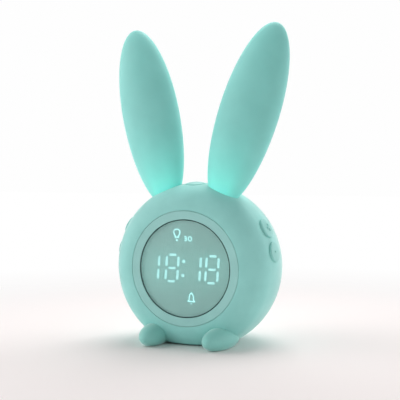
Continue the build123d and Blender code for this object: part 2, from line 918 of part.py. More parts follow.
def foot_pad():
    """Flat seat for the foot screw inside the casing."""
    return foot_screw_place() * pin(foot_pad_radius, -foot_screw_seat(), 0)


def foot_screws():
    length = foot_screw_seat() + foot_screw_depth
    one = Pos(0, 0, -foot_screw_seat()) * Rot(180, 0, 0) * small_screw(length)
    placed = foot_screw_place() * one
    return group([placed, mirrored(placed)])


def base_pad():
    """Soft round pad that keeps the clock from sliding."""
    pad = pin(base_pad_radius, table_z, table_z + base_pad_thickness, 0, base_pad_y)
    return fillet(pad.edges().filter_by(GeomType.CIRCLE).sort_by(Axis.Z)[0], bezel_edge)


def base_recess():
    return pin(base_pad_radius + fit_gap, base_z - past, table_z + base_pad_thickness, 0, base_pad_y)


# --- Main board and battery ---------------------------------------------------------------------
def board_post_spots():
    x = main_board_width / 2 - board_post_inset
    z = main_board_height / 2 - board_post_inset
    return [(x, z), (-x, z), (x, -z), (-x, -z)]


def board_outline():
    return RectangleRounded(main_board_width, main_board_height, main_board_corner)


def board_holes(low, high):
    hole = small_shank_radius + thread_gap
    return [y_disc(hole, low, high, x, z) for x, z in board_post_spots()]


def main_board():
    board = y_prism(board_outline(), main_board_y, main_board_back)
    return board - board_holes(main_board_y - past, main_board_back + past)


def main_chips():
    """Chips and upright capacitors on the main board's rear."""
    parts = []
    for x, z, width, height, depth in chip_places:
        parts.append(Pos(x, main_board_back + depth / 2, z) * Box(width, depth, height))
    for x, z in capacitor_places:
        parts.append(y_disc(capacitor_radius, main_board_back, main_board_back + capacitor_height, x, z))
    return group(parts)


def lead_socket_z():
    return lead_socket_drop - main_board_height / 2


def lead_sockets():
    """Small white plugs along the lower edge of the main board, one for each pair of leads."""
    body = Box(lead_socket_width, lead_socket_depth, lead_socket_height)
    y = main_board_back + lead_socket_depth / 2
    places = (battery_lead_x, speaker_lead_x, usb_lead_x)
    return group([Pos(x, y, lead_socket_z()) * body for x in places])


def board_header():
    """Row of pins in a plastic strip that joins the display board to the main board."""
    length = main_board_y - display_board_back
    middle = (main_board_y + display_board_back) / 2
    return Pos(0, middle, header_z) * Box(header_width, length, header_height)


def battery_tray():
    """Tray on four spacers behind the main board."""
    width = battery_width + 2 * battery_gap
    height = battery_height + 2 * battery_gap
    tray = y_prism(board_outline(), tray_front, tray_back)
    outer = Rectangle(width + 2 * tray_wall, height + 2 * tray_wall)
    tray += y_prism(outer - Rectangle(width, height), tray_front, tray_back + tray_wall_height)
    for x, z in board_post_spots():
        tray += y_disc(tray_leg_radius, main_board_back, tray_back, x, z)
    return tray - board_holes(main_board_back - past, tray_back + past)


def battery_cell():
    """Flat lithium pouch with rounded corners."""
    outline = RectangleRounded(battery_width, battery_height, battery_corner)
    return y_prism(outline, tray_back, tray_back + battery_thickness)


def board_screws():
    length = tray_back - main_board_y + small_shank_length
    return group([rear_facing(x, tray_back, z) * small_screw(length) for x, z in board_post_spots()])


# --- Speaker ------------------------------------------------------------------------------------
def speaker_disc(radius, low, high):
    return y_disc(radius, low, high, 0, speaker_z)


def speaker_levels():
    """Front faces of gasket, flange, clamp and basket, counted in from the rear wall."""
    gasket = rear_inner - gasket_thickness
    flange = gasket - speaker_flange_thickness
    return gasket, flange, flange - clamp_thickness, flange - basket_depth


def speaker_gasket():
    gasket, _, _, _ = speaker_levels()
    ring = speaker_disc(speaker_radius, gasket, rear_inner)
    return ring - speaker_disc(speaker_radius - gasket_width, gasket - past, rear_inner + past)


def speaker_cone_solid(outer, inner, low, high):
    """Frustum along Y, wide end at high."""
    return Pos(0, (low + high) / 2, speaker_z) * Rot(-90, 0, 0) * Cone(inner, outer, high - low)


def speaker_frame():
    """Pressed flange and tapered basket."""
    gasket, flange, _, basket = speaker_levels()
    body = speaker_disc(speaker_radius, flange, gasket)
    body += speaker_cone_solid(basket_radius, magnet_radius + basket_wall, basket, flange)
    mouth = basket_radius - basket_wall
    hollow = speaker_cone_solid(mouth, magnet_radius, basket + basket_wall, flange + basket_wall)
    return body - hollow - speaker_disc(mouth, flange, gasket + past)


def speaker_cone():
    """Thin dished cone with a dust cap."""
    gasket, _, _, basket = speaker_levels()
    rim = basket_radius - basket_wall - fit_gap
    throat = cone_throat_radius
    low = basket + 2 * basket_wall
    cone = speaker_cone_solid(rim, throat, low, gasket)
    cone -= speaker_cone_solid(rim, throat, low + basket_wall, gasket + basket_wall)
    cap = speaker_disc(throat, low, low + basket_wall)
    return (cone + cap) & speaker_disc(rim - fit_gap, basket, gasket)


def speaker_magnet():
    _, _, _, basket = speaker_levels()
    return speaker_disc(magnet_radius, basket - magnet_height, basket)


def speaker_screw_spots():
    reach = speaker_radius + speaker_boss_offset
    turns = [math.radians(angle) for angle in speaker_screw_angles]
    return [(reach * math.cos(turn), speaker_z + reach * math.sin(turn)) for turn in turns]


def speaker_clamp():
    """Ring with three tabs that holds the speaker against the rear wall."""
    _, flange, clamp, _ = speaker_levels()
    ring = speaker_disc(speaker_radius + basket_wall, clamp, flange)
    edge = speaker_radius / (speaker_radius + speaker_boss_offset)
    for x, z in speaker_screw_spots():
        inner_z = speaker_z + edge * (z - speaker_z)
        ring += y_disc(speaker_boss_radius, clamp, flange, x, z)
        ring += y_disc(speaker_boss_radius, clamp, flange, edge * x, inner_z)
    ring -= speaker_disc(speaker_radius - clamp_overlap, clamp - past, flange + past)
    hole = small_shank_radius + thread_gap
    return ring - [y_disc(hole, clamp - past, flange + past, x, z) for x, z in speaker_screw_spots()]


def speaker_screws():
    """Three screws whose heads look into the casing."""
    _, _, clamp, _ = speaker_levels()
    turned = Rot(180, 0, 0) * small_screw(speaker_screw_length)
    return group([rear_facing(x, clamp, z) * turned for x, z in speaker_screw_spots()])


def grille_spots():
    """Hexagonal pattern of holes within the grille's radius."""
    spots = []
    rings = int(grille_radius / grille_pitch) + 1
    for row in range(-2 * rings, 2 * rings + 1):
        for column in range(-2 * rings, 2 * rings + 1):
            x = grille_pitch * (column + row / 2)
            z = grille_pitch * row * math.sqrt(3) / 2
            if math.hypot(x, z) <= grille_radius - grille_hole_radius:
                spots.append((x, z + speaker_z))
    return spots


# --- Charging socket -----------------------------------------------------------------------------
def recess_outline(grow=0.0):
    width = plug_recess_width + 2 * grow
    height = plug_recess_height + 2 * grow
    return Pos(0, usb_z) * RectangleRounded(width, height, plug_recess_corner + grow)


def recess_floor():
    return rear_y - plug_recess_depth


def socket_outline(grow=0.0):
    width = socket_width + 2 * grow
    height = socket_height + 2 * grow
    return Pos(0, usb_z) * SlotOverall(width, height)


def usb_socket():
    """Metal shell of the socket around its flat tongue."""
    front = recess_floor() - fit_gap
    back = front - socket_length
    shell = y_prism(socket_outline(), back, front)
    shell -= y_prism(socket_outline(-socket_sheet), back + socket_back_wall, front + past)
    length = socket_length - socket_tongue_recess
    tongue = Box(socket_tongue_width, length, socket_tongue_thickness)
    return shell + Pos(0, back + length / 2, usb_z) * tongue


def usb_board_top():
    return usb_z - socket_height / 2


def usb_board_back():
    return recess_floor() - recess_wall - fit_gap


def usb_screw_spots():
    x = usb_board_width / 2 - usb_screw_inset
    y = usb_board_back() - usb_board_length + usb_screw_inset
    return [(x, y), (-x, y)]


def usb_board():
    back = usb_board_back()
    middle = back - usb_board_length / 2
    low = usb_board_top() - thin_board
    board = block(usb_board_width, usb_board_length, low, usb_board_top(), 0, middle)
    hole = small_shank_radius + thread_gap
    return board - [pin(hole, low - past, usb_board_top() + past, x, y) for x, y in usb_screw_spots()]


def usb_screws():
    return group([Pos(x, y, usb_board_top()) * small_screw(shelf_height) for x, y in usb_screw_spots()])


def usb_shelves():
    """Two brackets from the rear wall that carry the socket's board."""
    high = usb_board_top() - thin_board
    low = high - shelf_height
    front = usb_board_back() - usb_board_length
    middle = (front + rear_y) / 2
    length = rear_y - front
    return [block(shelf_width, length, low, high, x, middle) for x, _ in usb_screw_spots()]


# --- Shells --------------------------------------------------------------------------------------
def ledge():
    """Ring behind the face that carries lens, film, bezel and well block."""
    ring = y_disc(face_radius + shoulder_radius / 2, ledge_front, ledge_back)
    return ring - y_disc(ledge_radius, ledge_front - past, ledge_back + past)


def front_added():
    """Everything moulded onto the inside of the front shell."""
    added = snooze_keys.shell_added()
    for x, z in display_lug_spots():
        added.append(y_disc(display_boss_radius, ledge_front, display_board_front, x, z))
    for x, z in board_post_spots():
        added.append(y_disc(board_post_radius, ledge_front, main_board_y, x, z))
    low = seam_y - case_boss_length
    added += [case_boss(x, z, low, seam_y) for x, z in case_screw_spots()]
    sided = side_keys.shell_added() + ear_bosses() + [foot_pad()]
    return added + sided + [mirrored(shape) for shape in sided]


def front_cuts():
    """Openings, recesses and pilot holes of the front shell."""
    pilot = small_shank_radius + thread_gap
    depth = small_shank_length + thread_gap
    cuts = [y_disc(face_radius + fit_gap, face_y - past, ledge_front)]
    for x, z in display_lug_spots():
        low = display_board_back - depth
        cuts.append(y_disc(pilot, low, display_board_front + past, x, z))
    for x, z in board_post_spots():
        cuts.append(y_disc(pilot, main_board_y - depth, main_board_y + past, x, z))
    for x, z in case_screw_spots():
        low = seam_y + well_floor - case_shank_length - thread_gap
        cuts.append(y_disc(case_shank_radius + thread_gap, low, seam_y + past, x, z))
    cuts += snooze_keys.shell_cut()
    cuts.append(base_recess())
    sided = side_keys.shell_cut() + ear_pilot_holes()
    sided += [neck(fit_gap, -cup_depth, cup_depth), foot_pilot()]
    return cuts + sided + [mirrored(shape) for shape in sided]


def front_shell():
    inside = ball(wall / 2)
    body = (casing() & y_slab(-span, seam_y)) + (ledge() & inside)
    body = body + [shape & inside for shape in front_added()]
    return body - front_cuts()


def seam_lip():
    """Ring that locates the rear shell inside the front shell."""
    inner = wall + fit_gap + lip_thickness
    ring = (ball(wall + fit_gap) - ball(inner)) & y_slab(seam_y - lip_depth, seam_y + lip_depth)
    foot = (ball(wall / 2) - ball(inner)) & y_slab(seam_y, seam_y + lip_depth)
    lip = ring + foot - z_slab(floor_z + fit_gap - span, floor_z + fit_gap)
    low = seam_y - case_boss_length
    return lip - [case_boss(x, z, low, seam_y, slide_gap) for x, z in case_screw_spots()]


def rear_added():
    """Everything moulded onto the inside of the rear shell."""
    added = [case_well(x, z) for x, z in case_screw_spots()]
    floor = recess_floor() - recess_wall
    added.append(y_prism(recess_outline(recess_wall), floor, rear_y))
    added += usb_shelves()
    _, flange, _, _ = speaker_levels()
    added += [y_disc(speaker_boss_radius, flange, rear_y, x, z) for x, z in speaker_screw_spots()]
    return added


def rear_cuts():
    """Screw wells, grille, plug recess and pilot holes of the rear shell."""
    cuts = []
    for x, z in case_screw_spots():
        seat = seam_y + well_floor
        cuts.append(y_disc(well_radius, seat, span, x, z))
        hole = case_shank_radius + case_hole_clearance
        cuts.append(y_disc(hole, seam_y - past, seat + past, x, z))
    low = rear_inner - past
    high = rear_y + past
    cuts += [y_disc(grille_hole_radius, low, high, x, z) for x, z in grille_spots()]
    floor = recess_floor()
    cuts.append(y_prism(recess_outline(), floor, high))
    cuts.append(y_prism(socket_outline(fit_gap), floor - recess_wall - past, floor + past))
    _, flange, clamp, _ = speaker_levels()
    pilot = small_shank_radius + thread_gap
    tip = clamp + speaker_screw_length + thread_gap
    cuts += [y_disc(pilot, flange - past, tip, x, z) for x, z in speaker_screw_spots()]
    top = usb_board_top()
    cuts += [pin(pilot, top - shelf_height - thread_gap, top, x, y) for x, y in usb_screw_spots()]
    return cuts


def rear_shell():
    half = casing() & y_slab(seam_y, span)
    body = half + [shape & ball(wall / 4) for shape in rear_added()]
    return body + seam_lip() - rear_cuts()


# --- Leads -----------------------------------------------------------------------------------------
def lead(points, radius=lead_radius):
    """Round wire along straight runs, with bends as wide as the runs allow."""
    path_points = [Vector(*point) for point in points]
    radii = []
    for before, corner, after in zip(path_points, path_points[1:], path_points[2:]):
        turn = math.radians((corner - before).get_angle(after - corner))
        shorter = min((corner - before).length, (after - corner).length)
        radii.append(bend_share * shorter / math.tan(turn / 2))
    route = FilletPolyline(*path_points, radius=radii) if radii else Line(*path_points)
    section = Plane(origin=route @ 0, z_dir=route % 0) * Circle(radius)
    return sweep(section, path=route)


def lead_pair(points):
    """Two wires side by side in X."""
    shift = Vector(lead_pitch, 0, 0)
    return [lead([Vector(*point) + shift * side for point in points]) for side in (-0.5, 0.5)]


def socket_exit(x):
    """First two points of a pair of leads that drops out of its plug."""
    y = main_board_back + lead_socket_depth / 2
    return [(x, y, lead_socket_z() - lead_socket_height / 2), (x, y, lead_low_z)]


def battery_leads():
    x = battery_lead_x
    cell_back = tray_back + battery_thickness
    y = cell_back + battery_lead_rise
    top = battery_lead_inset - battery_height / 2
    return group(lead_pair(socket_exit(x) + [(x, y, lead_low_z), (x, y, top), (x, cell_back, top)]))


def speaker_leads():
    """Pair that ends just short of the basket's slope."""
    x = speaker_lead_x
    z = speaker_z - math.sqrt(speaker_lead_reach**2 - x**2)
    _, flange, _, basket = speaker_levels()
    near = speaker_lead_reach - lead_radius - fit_gap - magnet_radius - basket_wall
    end = basket + (flange - basket) * near / (basket_radius - magnet_radius - basket_wall)
    y = speaker_lead_y
    rise = [(x, y, lead_low_z), (x, y, z), (x, end - lead_pitch / 2, z)]
    return group(lead_pair(socket_exit(x) + rise))


def usb_leads():
    """Pair that ends on the front edge of the socket's board."""
    y = usb_lead_y
    z = usb_board_top() - thin_board / 2
    end = usb_board_back() - usb_board_length
    far = [(usb_lead_x, y, lead_low_z), (usb_lead_end_x, y, z), (usb_lead_end_x, end, z)]
    return group(lead_pair(socket_exit(usb_lead_x) + far))


def board_lead(start, away, edge):
    """Thick lead from a small board to an edge of the main board, in that board's plane."""
    first = start + away * lead_exit
    return lead([start, first, *edge], thick_lead_radius)


def ear_leads():
    start = (ear_root() * Pos(0, 0, -cup_depth - thin_board)).position
    away = (start - ear_root().position).normalized()
    first = start + away * lead_exit
    y = main_board_y + main_board_thickness / 2
    right = board_lead(start, away, [(first.X, y, ear_lead_z), (first.X, y, main_board_height / 2)])
    return group([right, mirrored(right)])


def key_leads():
    y = main_board_y + main_board_thickness / 2
    side = side_keys.normal * (ball_radius + side_keys.board_under)
    first = side - side_keys.normal * lead_exit
    edge = main_board_width / 2
    z = first.Z - lead_exit
    right = board_lead(side, -side_keys.normal, [(first.X, y, z), (edge, y, z)])
    top = snooze_keys.normal * (ball_radius + snooze_keys.board_under)
    upper = board_lead(top, -snooze_keys.normal, [(0, y, ear_lead_z), (0, y, main_board_height / 2)])
    return group([right, mirrored(right), upper])


# --- Assembly --------------------------------------------------------------------------------------
def pieces():
    """Each node's name and shape, about the centre of the ball."""
    ear = right_ear()
    cup = right_ear_cup()
    ear_board = right_ear_board()
    foot = right_foot()
    key_board = side_keys.board()
    yield "front_shell", front_shell()
    yield "rear_shell", rear_shell()
    yield "bezel_ring", bezel_ring()
    yield "display_lens", display_lens()
    yield "mask_film", mask_film()
    yield "window_inserts", window_inserts()
    yield "light_wells", light_wells()
    yield "display_leds", display_leds()
    yield "display_board", display_board()
    yield "display_screws", display_screws()
    yield "right_ear", ear
    yield "left_ear", mirrored(ear)
    yield "right_ear_cup", cup
    yield "left_ear_cup", mirrored(cup)
    yield "right_ear_board", ear_board
    yield "left_ear_board", mirrored(ear_board)
    yield "ear_leds", ear_leds()
    yield "ear_screws", ear_screws()
    yield "right_foot", foot
    yield "left_foot", mirrored(foot)
    yield "foot_screws", foot_screws()
    yield "base_pad", base_pad()
    yield "plus_button", side_keys.cap(0, plus_symbol())
    yield "minus_button", side_keys.cap(1, minus_symbol())
    yield "alarm_button", mirrored(side_keys.cap(0, ring_symbol()))
    yield "set_button", mirrored(side_keys.cap(1, dot_symbol()))
    yield "snooze_button", snooze_keys.cap(0)
    yield "plus_plunger", side_keys.plunger(0)
    yield "minus_plunger", side_keys.plunger(1)
    yield "alarm_plunger", mirrored(side_keys.plunger(0))
    yield "set_plunger", mirrored(side_keys.plunger(1))
    yield "snooze_plunger", snooze_keys.plunger(0)
    yield "tact_switches", tact_switches()
    yield "right_key_board", key_board
    yield "left_key_board", mirrored(key_board)
    yield "snooze_board", snooze_keys.board()
    yield "key_screws", key_screws()
    yield "main_board", main_board()
    yield "main_chips", main_chips()
    yield "lead_sockets", lead_sockets()
    yield "battery_tray", battery_tray()
    yield "battery_cell", battery_cell()
    yield "board_screws", board_screws()
    yield "speaker_gasket", speaker_gasket()
    yield "speaker_frame", speaker_frame()
    yield "speaker_cone", speaker_cone()
    yield "speaker_magnet", speaker_magnet()
    yield "speaker_clamp", speaker_clamp()
    yield "speaker_screws", speaker_screws()
    yield "usb_socket", usb_socket()
    yield "usb_board", usb_board()
    yield "usb_screws", usb_screws()
    yield "case_screws", case_screws()
    yield "board_header", board_header()
    yield "battery_leads", battery_leads()
    yield "speaker_leads", speaker_leads()
    yield "usb_leads", usb_leads()
    yield "ear_leads", ear_leads()
    yield "key_leads", key_leads()


os.makedirs("parts", exist_ok=True)
for name, shape in pieces():
    export_step(Pos(0, 0, centre_height) * shape, f"parts/{name}.step")
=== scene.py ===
import json
import math

import bmesh
import bpy
from mathutils import Matrix, Vector


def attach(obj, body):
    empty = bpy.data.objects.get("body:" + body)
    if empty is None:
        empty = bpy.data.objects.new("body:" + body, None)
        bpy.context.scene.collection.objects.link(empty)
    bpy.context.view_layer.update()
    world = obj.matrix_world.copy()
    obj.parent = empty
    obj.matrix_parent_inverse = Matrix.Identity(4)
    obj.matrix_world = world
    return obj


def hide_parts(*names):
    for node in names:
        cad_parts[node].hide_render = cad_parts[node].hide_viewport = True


# A bedside clock and night light: a soft-touch ball with a round display and two
# glowing silicone ears. Sizes are in millimetres and are turned to metres by MM.
MM = 0.001

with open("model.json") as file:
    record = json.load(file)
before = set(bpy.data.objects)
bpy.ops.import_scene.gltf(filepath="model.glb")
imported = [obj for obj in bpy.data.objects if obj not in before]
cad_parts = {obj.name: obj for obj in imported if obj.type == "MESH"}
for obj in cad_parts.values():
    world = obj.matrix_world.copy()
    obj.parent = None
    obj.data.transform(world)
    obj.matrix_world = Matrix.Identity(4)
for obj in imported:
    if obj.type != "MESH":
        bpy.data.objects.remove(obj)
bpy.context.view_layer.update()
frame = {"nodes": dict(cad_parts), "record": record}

# --- Sizes, in millimetres about the centre of the ball -------------------------------
BALL_RADIUS = 53.0
CENTRE_HEIGHT = 48.3
FACE_REACH = 23.4  # from the ball's centre to the flat face
FACE_RADIUS = 36.0  # of the flat face, out to its shoulder
SHOULDER_RADIUS = 16.3  # rounding from the flat face into the ball
LENS_RADIUS = 30.2
LENS_RECESS = 0.2
LENS_EDGE = 0.2  # slope on its front edge
LENS_GAP = 0.3
LENS_FRONT = FACE_REACH - LENS_RECESS
# Dark ring in the gap round the lens: painted shade of the groove.
SHADE_RING_WIDTH = 0.42
SHADE_RING_CLEAR = 0.02  # between the ring of painted shade and what it lies against
SHADE_RING_PROUD = 0.06  # how far it stands in front of the lens
SHADE_RING_DEPTH = 1.0
SINK = 1.0  # how far a fitted piece lies under the skin of the ball
MERGE_DISTANCE = 0.001  # points that lie closer are one point
TURNED_SIDES = 160

KEY_ELEVATION = 19.85  # degrees from the ball's centre up to the middle of a pair of side keys
KEY_LEAN = -4.0  # the same, towards the rear when positive
KEY_PITCH = 15.5
KEY_RADIUS = 6.2
KEY_GAP = 0.3
SEAL_CLEAR = 0.03  # between the seal and the walls of the gap
SEAL_SINK = 0.08  # how far the seal lies under the skin
SEAL_DEPTH = 1.5
SEAL_SIDES = 120

EAR_HALF_WIDTH = 19.59
EAR_HALF_THICKNESS = 11.8
EAR_UPPER_LENGTH = 58.45
EAR_LOWER_LENGTH = 61.8
EAR_RISE = 50.85  # from the ball to the widest section
EAR_SPLAY = 15.9  # degrees that the ear leans outwards
EAR_LEAN = 7.5  # the same, backwards
EAR_ROOT_SIDE = 22.6  # degrees from the top of the ball to the ear's root, outwards
EAR_ROOT_FRONT = 7.8  # the same, towards the display

FOOT_X = 22.5
FOOT_Y = -18.0
FOOT_Z = 5.5  # above the table
FOOT_HALF_WIDTH = 8.4
FOOT_HALF_LENGTH = 19.4
FOOT_HALF_HEIGHT = 7.5
FOOT_TOE_IN = 6.0  # degrees
EGG_SEGMENTS = 96
EGG_RINGS = 72

FILM_RECESS = 1.8
FILM_FRONT = FACE_REACH - FILM_RECESS
FILM_THICKNESS = 0.4
FILM_EDGE = 0.1  # slope on its front edge
LIT_DEPTH = 0.12  # how proud the lit shapes stand of the film
LIT_CLEAR = 0.03  # between the lit shapes and the back of the lens
DIGIT_CENTRES = (-22.35, -9.05, 6.05, 17.9)
DIGIT_SLANT = 4.5  # degrees
DIGIT_REACH = 4.0  # from a digit's middle to its upright bars
DIGIT_RISE = 8.3  # from a digit's middle to its outer level bars
COLON_X = -1.35
COLON_RISE = 4.4
BAR_LENGTH = 6.1
LEVEL_BAR_SHARE = 0.78  # a level bar against an upright one
BAR_WIDTH = 1.5
BAR_ROUNDING = 0.42  # radius at its corners against its width
BAR_CORNER_POINTS = 4
DOT_WIDTH = 2.2
DOT_SIDES = 16
TIMER_X = (0.0, 3.15)
TIMER_Z = 18.55
TIMER_REACH = (0.75, 1.0)  # from a small digit's middle to its upright lines
TIMER_RISE = 1.25
TIMER_LINE = 0.62
# Lines of the small 3 and 0, in shares of their reach and rise.
THREE_UPPER = ((-1, 1), (0.6, 1), (1, 0.7), (1, 0.3), (0.5, 0))
THREE_LOWER = ((-0.6, 0), (0.5, 0), (1, -0.3), (1, -0.7), (0.6, -1), (-1, -1))
ZERO_LINE = ((0.5, 1), (1, 0.6), (1, -0.6), (0.5, -1), (-0.5, -1), (-1, -0.6), (-1, 0.6), (-0.5, 1))

BULB_X = -5.7
BULB_Z = 22.4
BULB_RADIUS = 1.95
BULB_SPREAD = 1.1  # width of the bulb against its height
BULB_OPENING = 44.0  # degrees from straight down to where the neck begins
BULB_NECK = (1.0, -2.9)  # half width and foot, about the middle of the bulb
BULB_CAP = (1.3, -3.0)  # half width and height of the line under the neck
BULB_CONTACT = (-4.9, 0.65)  # height and radius of the dot under the cap
BULB_STEPS = 24
BELL_X = 4.1
BELL_BASE_Z = -20.25
BELL_SIDE = ((0.35, 4.9), (0.95, 4.2), (1.4, 3.1), (1.45, 1.2), (2.0, 0.2))  # down its right
BELL_RIM = 2.6  # half width of the line under the bell
BELL_KNOB = (5.2, 0.4)  # height and radius of the dot on top
BELL_CLAPPER = (-1.4, 0.45)  # height and radius of the dot below
ICON_LINE = 0.72  # width of a line in the icons
BELL_LINE = 0.85 * ICON_LINE

# Bars of a digit, clockwise from the top, with the middle one last.
FULL_DIGIT_PARTS = "abcdefg"
HALF_DIGIT_PARTS = "bc"


def frame_point(x, y, z):
    """A point about the ball's centre, in millimetres, as a point of the frame."""
    return Vector((x, y, z + CENTRE_HEIGHT)) * MM


# --- Light ----------------------------------------------------------------------------
# Glow of the ears: how far up it reaches, as a share of the ear's height, and how fast it
# falls; its strength at the middle and at the sides; and where between the two edges, from
# -1 to 1, it is strongest, and how wide the strongest part and the whole of it reach.
GLOW_REACH = 0.55
GLOW_FALL = 2.6
GLOW_MIDDLE = 0.335
GLOW_SIDE = 0.12
GLOW_CENTRE = -0.1
GLOW_CORE = 0.35
GLOW_SPAN = 1.1

# Stray light on the film: the distance from the row of digits, in millimetres, and the
# strength there, where it is strongest and where it is weakest.
HALO_NEAR = (3.0, 0.09)
HALO_FAR = (24.0, 0.01)

# Direction, level and sharpness of the light from each side of the room.
ROOM_LOBES = (
    ((0, 1, 0), 1.0, 2.0),
    ((1, 0, 0), 1.25, 2.0),
    ((-1, -0.1, 0.1), 1.8, 6.0),
    ((-0.7, -0.7, 0.1), 2.1, 6.0),
)
# Name, place, size and power of each lamp, and the point that they look at. From here on
# places and sizes are in metres, and powers in watts.
SOFTBOXES = (
    ("left_softbox", (-0.36, -0.06, 0.31), 0.25, 0.3),
    ("right_softbox", (0.6, 0.5, 0.2), 0.6, 0.9),
    ("top_softbox", (0.0, 0.3, 0.75), 0.5, 3.5),
)
SOFTBOX_AIM = (0.0, 0.0, 0.07)

# The table top is plain round the clock and fades into white, first tinted, then pure.
TABLE_WIDTH = 6.0
TABLE_DROP = 0.0003
FADE_CENTRE = (0.03, -0.02, 0.0)
FADE_START = 0.12
FADE_END = 0.36
TINT_START = 0.08
TINT_END = 0.5

CAMERA_PLACE = (0.2467, -0.5671, 0.1115)
CAMERA_DIP = 1.9815  # degrees below level
CAMERA_TURN = 23.463  # degrees
CAMERA_LENS = 87.24  # millimetres, as is the sensor
CAMERA_SENSOR = 36.0


# --- Colours and nodes ----------------------------------------------------------------
ROUGHNESS_SWING = 0.04  # how far the roughness of a plain finish drifts each way


def linear(code):
    """sRGB hex colour as a linear colour with full alpha."""
    parts = [int(code[i : i + 2], 16) / 255 for i in (1, 3, 5)]
    return [c / 12.92 if c <= 0.04045 else ((c + 0.055) / 1.055) ** 2.4 for c in parts] + [1.0]


def add(tree, kind, inputs=None, **settings):
    """Adds a node with its settings, and fills its inputs with values or with links."""
    made = tree.nodes.new(kind)
    for key, value in settings.items():
        setattr(made, key, value)
    for key, value in (inputs or {}).items():
        if isinstance(value, bpy.types.NodeSocket):
            tree.links.new(value, made.inputs[key])
        else:
            made.inputs[key].default_value = value
    return made


def new_material(name):
    """Empty material and its node tree."""
    material = bpy.data.materials.new(name)
    material.use_nodes = True
    material.node_tree.nodes.clear()
    return material, material.node_tree


def close_material(tree, shader):
    """Puts a shader on the surface."""
    add(tree, "ShaderNodeOutputMaterial", {"Surface": shader.outputs[0]})


def mottled(tree, colour, other, size):
    """Colour that drifts between two tones over patches of a size in millimetres."""
    place = add(tree, "ShaderNodeTexCoord")
    noise = add(
        tree,
        "ShaderNodeTexNoise",
        {"Vector": place.outputs["Object"], "Scale": 1 / (size * MM), "Detail": 3.0},
    )
    share = add(
        tree,
        "ShaderNodeMapRange",
        {"Value": noise.outputs["Fac"], "From Min": 0.35, "From Max": 0.65},
    )
    mix = add(
        tree,
        "ShaderNodeMix",
        {"Factor": share.outputs[0], "A": linear(colour), "B": linear(other)},
        data_type="RGBA",
    )
    return mix.outputs["Result"]


def grain(tree, size, depth):
    """Bump of fine grains, with their size and depth in millimetres."""
    place = add(tree, "ShaderNodeTexCoord")
    noise = add(
        tree,
        "ShaderNodeTexNoise",
        {"Vector": place.outputs["Object"], "Scale": 1 / (size * MM), "Detail": 2.0},
    )
    bump = add(
        tree,
        "ShaderNodeBump",
        {"Height": noise.outputs["Fac"], "Distance": depth * MM, "Strength": 1.0},
    )
    return bump.outputs[0]


def drift(tree, low, high, size):
    """Roughness that wanders between two values over patches of a size in millimetres."""
    place = add(tree, "ShaderNodeTexCoord")
    noise = add(
        tree,
        "ShaderNodeTexNoise",
        {"Vector": place.outputs["Object"], "Scale": 1 / (size * MM), "Detail": 2.0},
    )
    value = add(
        tree,
        "ShaderNodeMapRange",
        {"Value": noise.outputs["Fac"], "To Min": low, "To Max": high},
    )
    return value.outputs[0]


def plain_finish(name, colour, other, roughness, patch=9.0, grain_size=0.5, grain_depth=0.01, **extra):
    """Moulded, coated or plated surface: two near tones, drifting roughness and a fine grain."""
    material, tree = new_material(name)
    inputs = {
        "Base Color": mottled(tree, colour, other, patch),
        "Roughness": drift(tree, roughness - ROUGHNESS_SWING, roughness + ROUGHNESS_SWING, patch / 2),
        "Normal": grain(tree, grain_size, grain_depth),
    }
    inputs.update({key.replace("_", " "): value for key, value in extra.items()})
    close_material(tree, add(tree, "ShaderNodeBsdfPrincipled", inputs))
    return material


# --- Materials ------------------------------------------------------------------------
def soft_touch_abs(name, colour, other):
    # Moulded ABS under a rubbery soft-touch lacquer: no gloss, and a faint bloom where
    # it is seen at a slant. Its real grain is finer than 0.1 mm and is drawn at 0.5 mm.
    return plain_finish(
        name,
        colour,
        other,
        0.62,
        grain_depth=0.006,
        IOR=1.48,
        Sheen_Weight=0.9,
        Sheen_Roughness=0.35,
        Sheen_Tint=linear("#EFFFFC"),
    )


def satin_abs(name, colour, other):
    # Moulded ABS straight from a finely spark-eroded tool: satin, with a soft highlight.
    return plain_finish(name, colour, other, 0.42, grain_depth=0.004, IOR=1.53)


def ear_glow(tree):
    """Strength of the light that comes through an ear, from its rise and edge attributes."""
    rise = add(tree, "ShaderNodeAttribute", attribute_name="rise")
    near = add(
        tree,
        "ShaderNodeMapRange",
        {"Value": rise.outputs["Fac"], "From Min": 0.0, "From Max": GLOW_REACH, "To Min": 1.0, "To Max": 0.0},
    )
    fall = add(tree, "ShaderNodeMath", {0: near.outputs[0], 1: GLOW_FALL}, operation="POWER")
    edge = add(tree, "ShaderNodeAttribute", attribute_name="edge")
    across = add(tree, "ShaderNodeMath", {0: edge.outputs["Fac"], 1: GLOW_CENTRE}, operation="SUBTRACT")
    aside = add(tree, "ShaderNodeMath", {0: across.outputs[0]}, operation="ABSOLUTE")
    level = add(
        tree,
        "ShaderNodeMapRange",
        {
            "Value": aside.outputs[0],
            "From Min": GLOW_CORE,
            "From Max": GLOW_SPAN,
            "To Min": GLOW_MIDDLE,
            "To Max": GLOW_SIDE,
        },
        interpolation_type="SMOOTHSTEP",
    )
    strength = add(tree, "ShaderNodeMath", {0: fall.outputs[0], 1: level.outputs[0]}, operation="MULTIPLY")
    return strength.outputs[0]


